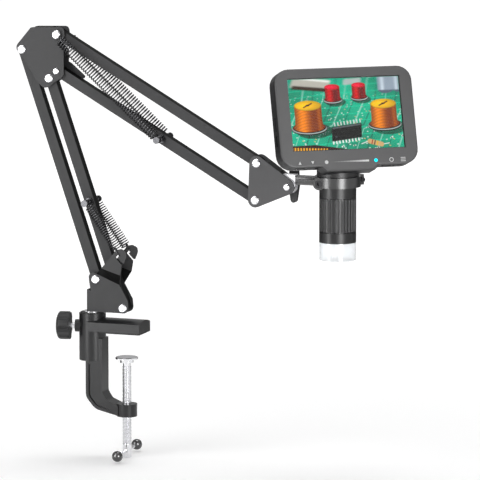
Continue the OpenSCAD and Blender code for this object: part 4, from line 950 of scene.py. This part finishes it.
class LOOKS_OT_picture(bpy.types.Operator):
    """The lit picture behind the display's glass"""
    bl_idname = "looks.picture"
    bl_label = "Light Picture"

    def execute(self, context):
        d = settings(context).display
        place = head_matrix()
        low, high = head_box("cover_glass")
        wide, tall = (size * MM_PER_M - PICTURE_MARGIN for size in (high.x - low.x, high.z - low.z))
        canvas = board_close_up(wide, tall, d.cell)
        rows, across = canvas.u.shape
        depth = high.y + PICTURE_GAP
        points = [place @ Vector((u / MM_PER_M, depth, v / MM_PER_M))
                  for u, v in zip(canvas.u.ravel().tolist(), canvas.v.ravel().tolist())]
        corners = [r * across + k for r in range(rows - 1) for k in range(across - 1)]
        faces = [(c, c + 1, c + across + 1, c + across) for c in corners]
        piece = mesh_piece("lit_picture", points, faces, lit_picture("picture_light", d.brightness),
                           smooth=False, slot="screen_panel")
        mesh = piece.data
        tone = mesh.color_attributes.new("Tone", "FLOAT_COLOR", "POINT")
        tone.data.foreach_set("color", [x for c in canvas.tone.reshape(-1, 3).tolist() for x in (*c, 1.0)])
        for name, values in (("Across", canvas.u), ("Along", canvas.v)):
            share = (values - values.min()) / (values.max() - values.min())
            mesh.attributes.new(name, "FLOAT", "POINT").data.foreach_set("value", share.ravel().tolist())
        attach(piece, "scope")
        return {"FINISHED"}


class LOOKS_OT_marks(bpy.types.Operator):
    """Printed marks along the lower edge of the display's front, and its indicator light"""
    bl_idname = "looks.marks"
    bl_label = "Print Marks"

    def execute(self, context):
        d = settings(context).display
        ink = moulded("mark_ink", tuple(d.marks), scaled(d.marks, 0.94), 0.45, 6.0, 0.004)
        front = head_box("front_bezel")[0].y
        v = head_box("cover_glass")[0].z * MM_PER_M - MARK_DROP
        up, down, menu, half = UP_AT, DOWN_AT, MENU_AT, MARK_HALF
        long, thin = 2.2, 0.3
        prints = {
            "mark_up": [[(up - half, v - half), (up + half, v - half), (up, v + half * 1.1)]],
            "mark_down": [[(down - half, v + half), (down, v - half * 1.1), (down + half, v + half)]],
            "mark_dot": [disc(DOT_AT, v, DOT_R)],
            "mark_menu": [[(menu - long, v + y - thin), (menu + long, v + y - thin),
                           (menu + long, v + y + thin), (menu - long, v + y + thin)] for y in (-1.5, 0, 1.5)],
        }
        for name, outlines in prints.items():
            self.stamp(name, outlines, front, ink)
        sides = 32
        outer, inner = (disc(RING_AT, v, r, sides) for r in (2.0, 1.35))
        ring = [[outer[k], outer[(k + 1) % sides], inner[(k + 1) % sides], inner[k]] for k in range(sides)]
        self.stamp("mark_ring", ring, front, ink)
        self.stamp("signal_light", [disc(SIGNAL_AT, v, DOT_R)], front,
                   glowing("signal_glow", tuple(d.signal), 0.9, scaled(d.signal, 1.2)))
        # The bar widens and grows paler to the right, in steps
        for k in range(BAR_STEPS):
            t0, t1 = k / BAR_STEPS, (k + 1) / BAR_STEPS
            u0, u1 = (BAR_AT + BAR_LENGTH * t for t in (t0, t1))
            h0, h1 = (0.35 + 0.5 * t for t in (t0, t1))
            shade = 0.13 + 0.77 * t1 ** 1.5
            tone = moulded(f"mark_bar_{k}", (shade,) * 3, (shade * 0.96,) * 3, 0.45, 6.0, 0.004)
            bar = [(u0, v - h0), (u1, v - h1), (u1, v + h1), (u0, v + h0)]
            self.stamp(f"mark_bar_{k}", [bar], front, tone)
        return {"FINISHED"}

    def stamp(self, name, outlines, front, material):
        """A thin plate of ink for each outline, proud of the front by a hair."""
        m = head_matrix()
        points, faces = [], []
        for outline in outlines:
            first, n = len(points), len(outline)
            for depth in (front + INK_HALF, front - INK_HALF):
                points += [m @ Vector((x / MM_PER_M, depth, z / MM_PER_M)) for x, z in outline]
            faces.append(tuple(range(first + n, first + 2 * n)))
            faces.append(tuple(range(first, first + n))[::-1])
            for k in range(first, first + n):
                beside = first + (k - first + 1) % n
                faces.append((k, beside, beside + n, k + n))
        return mesh_piece(name, points, faces, material, "scope", smooth=False)


class LOOKS_OT_stage(bpy.types.Operator):
    """Floor, soft lights and the camera"""
    bl_idname = "looks.stage"
    bl_label = "Set Stage"

    def execute(self, context):
        s = settings(context).stage
        scene = context.scene
        scene.view_settings.view_transform = "Standard"
        target = Vector(s.target)
        a, e = s.azimuth, s.elevation
        back = Vector((math.sin(a) * math.cos(e), -math.cos(a) * math.cos(e), math.sin(e)))
        camera = bpy.data.objects.new("camera", bpy.data.cameras.new("camera"))
        scene.collection.objects.link(camera)
        camera.data.lens, camera.data.sensor_width = s.lens, 36.0
        camera.data.clip_start, camera.data.clip_end = 0.05, 100.0
        camera.location = target + back * s.distance
        camera.rotation_euler = (-back).to_track_quat("-Z", "Y").to_euler()
        scene.camera = camera
        self.floor(tuple(s.floor))
        self.world(scene, s.light)
        for name, at, size, power in SOFT_BOXES:
            self.lamp(scene, name, at, target, size, power * s.light)
        middle = Vector((target.x, target.y, PANELS_AIM))
        for name, at, size, power in PANELS:
            self.lamp(scene, name, at, middle, size, power * s.light).visible_diffuse = False
        return {"FINISHED"}

    def lamp(self, scene, name, at, target, size, power):
        lamp = bpy.data.objects.new(name, bpy.data.lights.new(name, "AREA"))
        lamp.data.shape, lamp.data.energy = "RECTANGLE", power
        lamp.data.size, lamp.data.size_y = size
        lamp.location = at
        lamp.rotation_euler = (target - lamp.location).to_track_quat("-Z", "Y").to_euler()
        scene.collection.objects.link(lamp)
        return lamp

    def floor(self, colour):
        """White paper that stays white to the camera, and is dark behind the object in reflections."""
        z = CAD_BOX[0].z - FLOOR_GAP
        corners = [(x * FLOOR_HALF, y * FLOOR_HALF, z) for x, y in ((-1, -1), (1, -1), (1, 1), (-1, 1))]
        s = Shader("floor_paper")
        cloud = s.noise(0.004, 3.0)
        rays = s.tree.nodes.new("ShaderNodeLightPath")
        glossy, seen = (Wire(s, rays.outputs[f"Is {kind} Ray"]) for kind in ("Glossy", "Camera"))
        behind = s.along(REARWARD).ramp(0.05, 0.7)
        white = s.mix(cloud.ramp(0.3, 0.7), colour, scaled(colour, 0.985))
        s.surface(
            Base_Color=s.mix(glossy * behind, white, scaled(colour, 0.12)),
            Roughness=0.9, Specular_IOR_Level=0.1,
        )
        paper = s.out.inputs["Surface"].links[0].from_node
        lift = s.tree.nodes.new("ShaderNodeEmission")
        add = s.tree.nodes.new("ShaderNodeAddShader")
        metres = s.place((1 / MM_PER_M,) * 3)
        away = s.node("ShaderNodeVectorMath", {"operation": "LENGTH"}, {0: metres}, "Value")
        lit = (seen + glossy * (behind * -0.5 + 0.5)).clamp()
        s.put(lift.inputs["Strength"], lit * away.ramp(0.25, 2.0, 0.22, 0.6))
        s.tree.links.new(paper.outputs[0], add.inputs[0])
        s.tree.links.new(lift.outputs[0], add.inputs[1])
        s.tree.links.new(add.outputs[0], s.out.inputs["Surface"])
        piece = mesh_piece("floor", corners, [(0, 1, 2, 3)], s.material, smooth=False)

    def world(self, scene, level):
        """White to the camera, even to lit surfaces, and brighter in front than behind in reflections."""
        world = bpy.data.worlds.new("studio")
        scene.world = world
        world.use_nodes = True
        nodes, link = world.node_tree.nodes, world.node_tree.links.new
        nodes.clear()
        out, ground, rays, where, facing, front = (nodes.new(f"ShaderNode{kind}") for kind in (
            "OutputWorld", "Background", "LightPath", "TexCoord", "VectorMath", "MapRange"))
        ground.inputs["Color"].default_value = (1, 1, 1, 1)
        facing.operation = "DOT_PRODUCT"
        facing.inputs[1].default_value = FRONTWARD
        link(where.outputs["Generated"], facing.inputs[0])
        for socket, value in zip(("From Min", "From Max", "To Min", "To Max"), (-0.5, 0.6, 0.4, 0.6)):
            front.inputs[socket].default_value = value
        link(facing.outputs["Value"], front.inputs["Value"])
        factor, first, second = MIX_NUMBER_INPUTS
        mirrored, seen = nodes.new("ShaderNodeMix"), nodes.new("ShaderNodeMix")
        mirrored.inputs[first].default_value = FILL_LIGHT * level
        link(front.outputs["Result"], mirrored.inputs[second])
        link(rays.outputs["Is Glossy Ray"], mirrored.inputs[factor])
        link(mirrored.outputs[0], seen.inputs[first])
        seen.inputs[second].default_value = 1.0
        link(rays.outputs["Is Camera Ray"], seen.inputs[factor])
        link(seen.outputs[0], ground.inputs["Strength"])
        link(ground.outputs[0], out.inputs["Surface"])


class LOOKS_PT_panel(bpy.types.Panel):
    """Lists the pieces of the looks in the sidebar"""
    bl_idname = "LOOKS_PT_panel"
    bl_label = "Microscope Looks"
    bl_space_type = "VIEW_3D"
    bl_region_type = "UI"
    bl_category = "Microscope"

    def draw(self, context):
        looks = settings(context)
        for title in ("Springs", "Paint", "Display", "Stage"):
            group = getattr(looks, title.lower())
            box = self.layout.box()
            box.label(text=title)
            for key in group.bl_rna.properties.keys():
                if key not in {"rna_type", "name"}:
                    box.prop(group, key)
        for operator in OPERATORS:
            self.layout.operator(operator.bl_idname)


OPERATORS = (
    LOOKS_OT_clamp, LOOKS_OT_arm, LOOKS_OT_springs, LOOKS_OT_holder, LOOKS_OT_scope, LOOKS_OT_display,
    LOOKS_OT_picture, LOOKS_OT_marks, LOOKS_OT_stage,
)
CLASSES = (
    SpringSettings, PaintSettings, DisplaySettings, StageSettings, LooksSettings, *OPERATORS, LOOKS_PT_panel,
)


def register():
    for cls in CLASSES:
        bpy.utils.register_class(cls)
    bpy.types.Scene.microscope_looks = bpy.props.PointerProperty(type=LooksSettings)


def unregister():
    del bpy.types.Scene.microscope_looks
    for cls in reversed(CLASSES):
        bpy.utils.unregister_class(cls)


def main():
    register()
    bpy.ops.looks.clamp()
    bpy.ops.looks.arm()
    bpy.ops.looks.springs()
    bpy.ops.looks.holder()
    bpy.ops.looks.scope()
    bpy.ops.looks.display()
    bpy.ops.looks.picture()
    bpy.ops.looks.marks()
    bpy.ops.looks.stage()


if __name__ == "__main__":
    main()
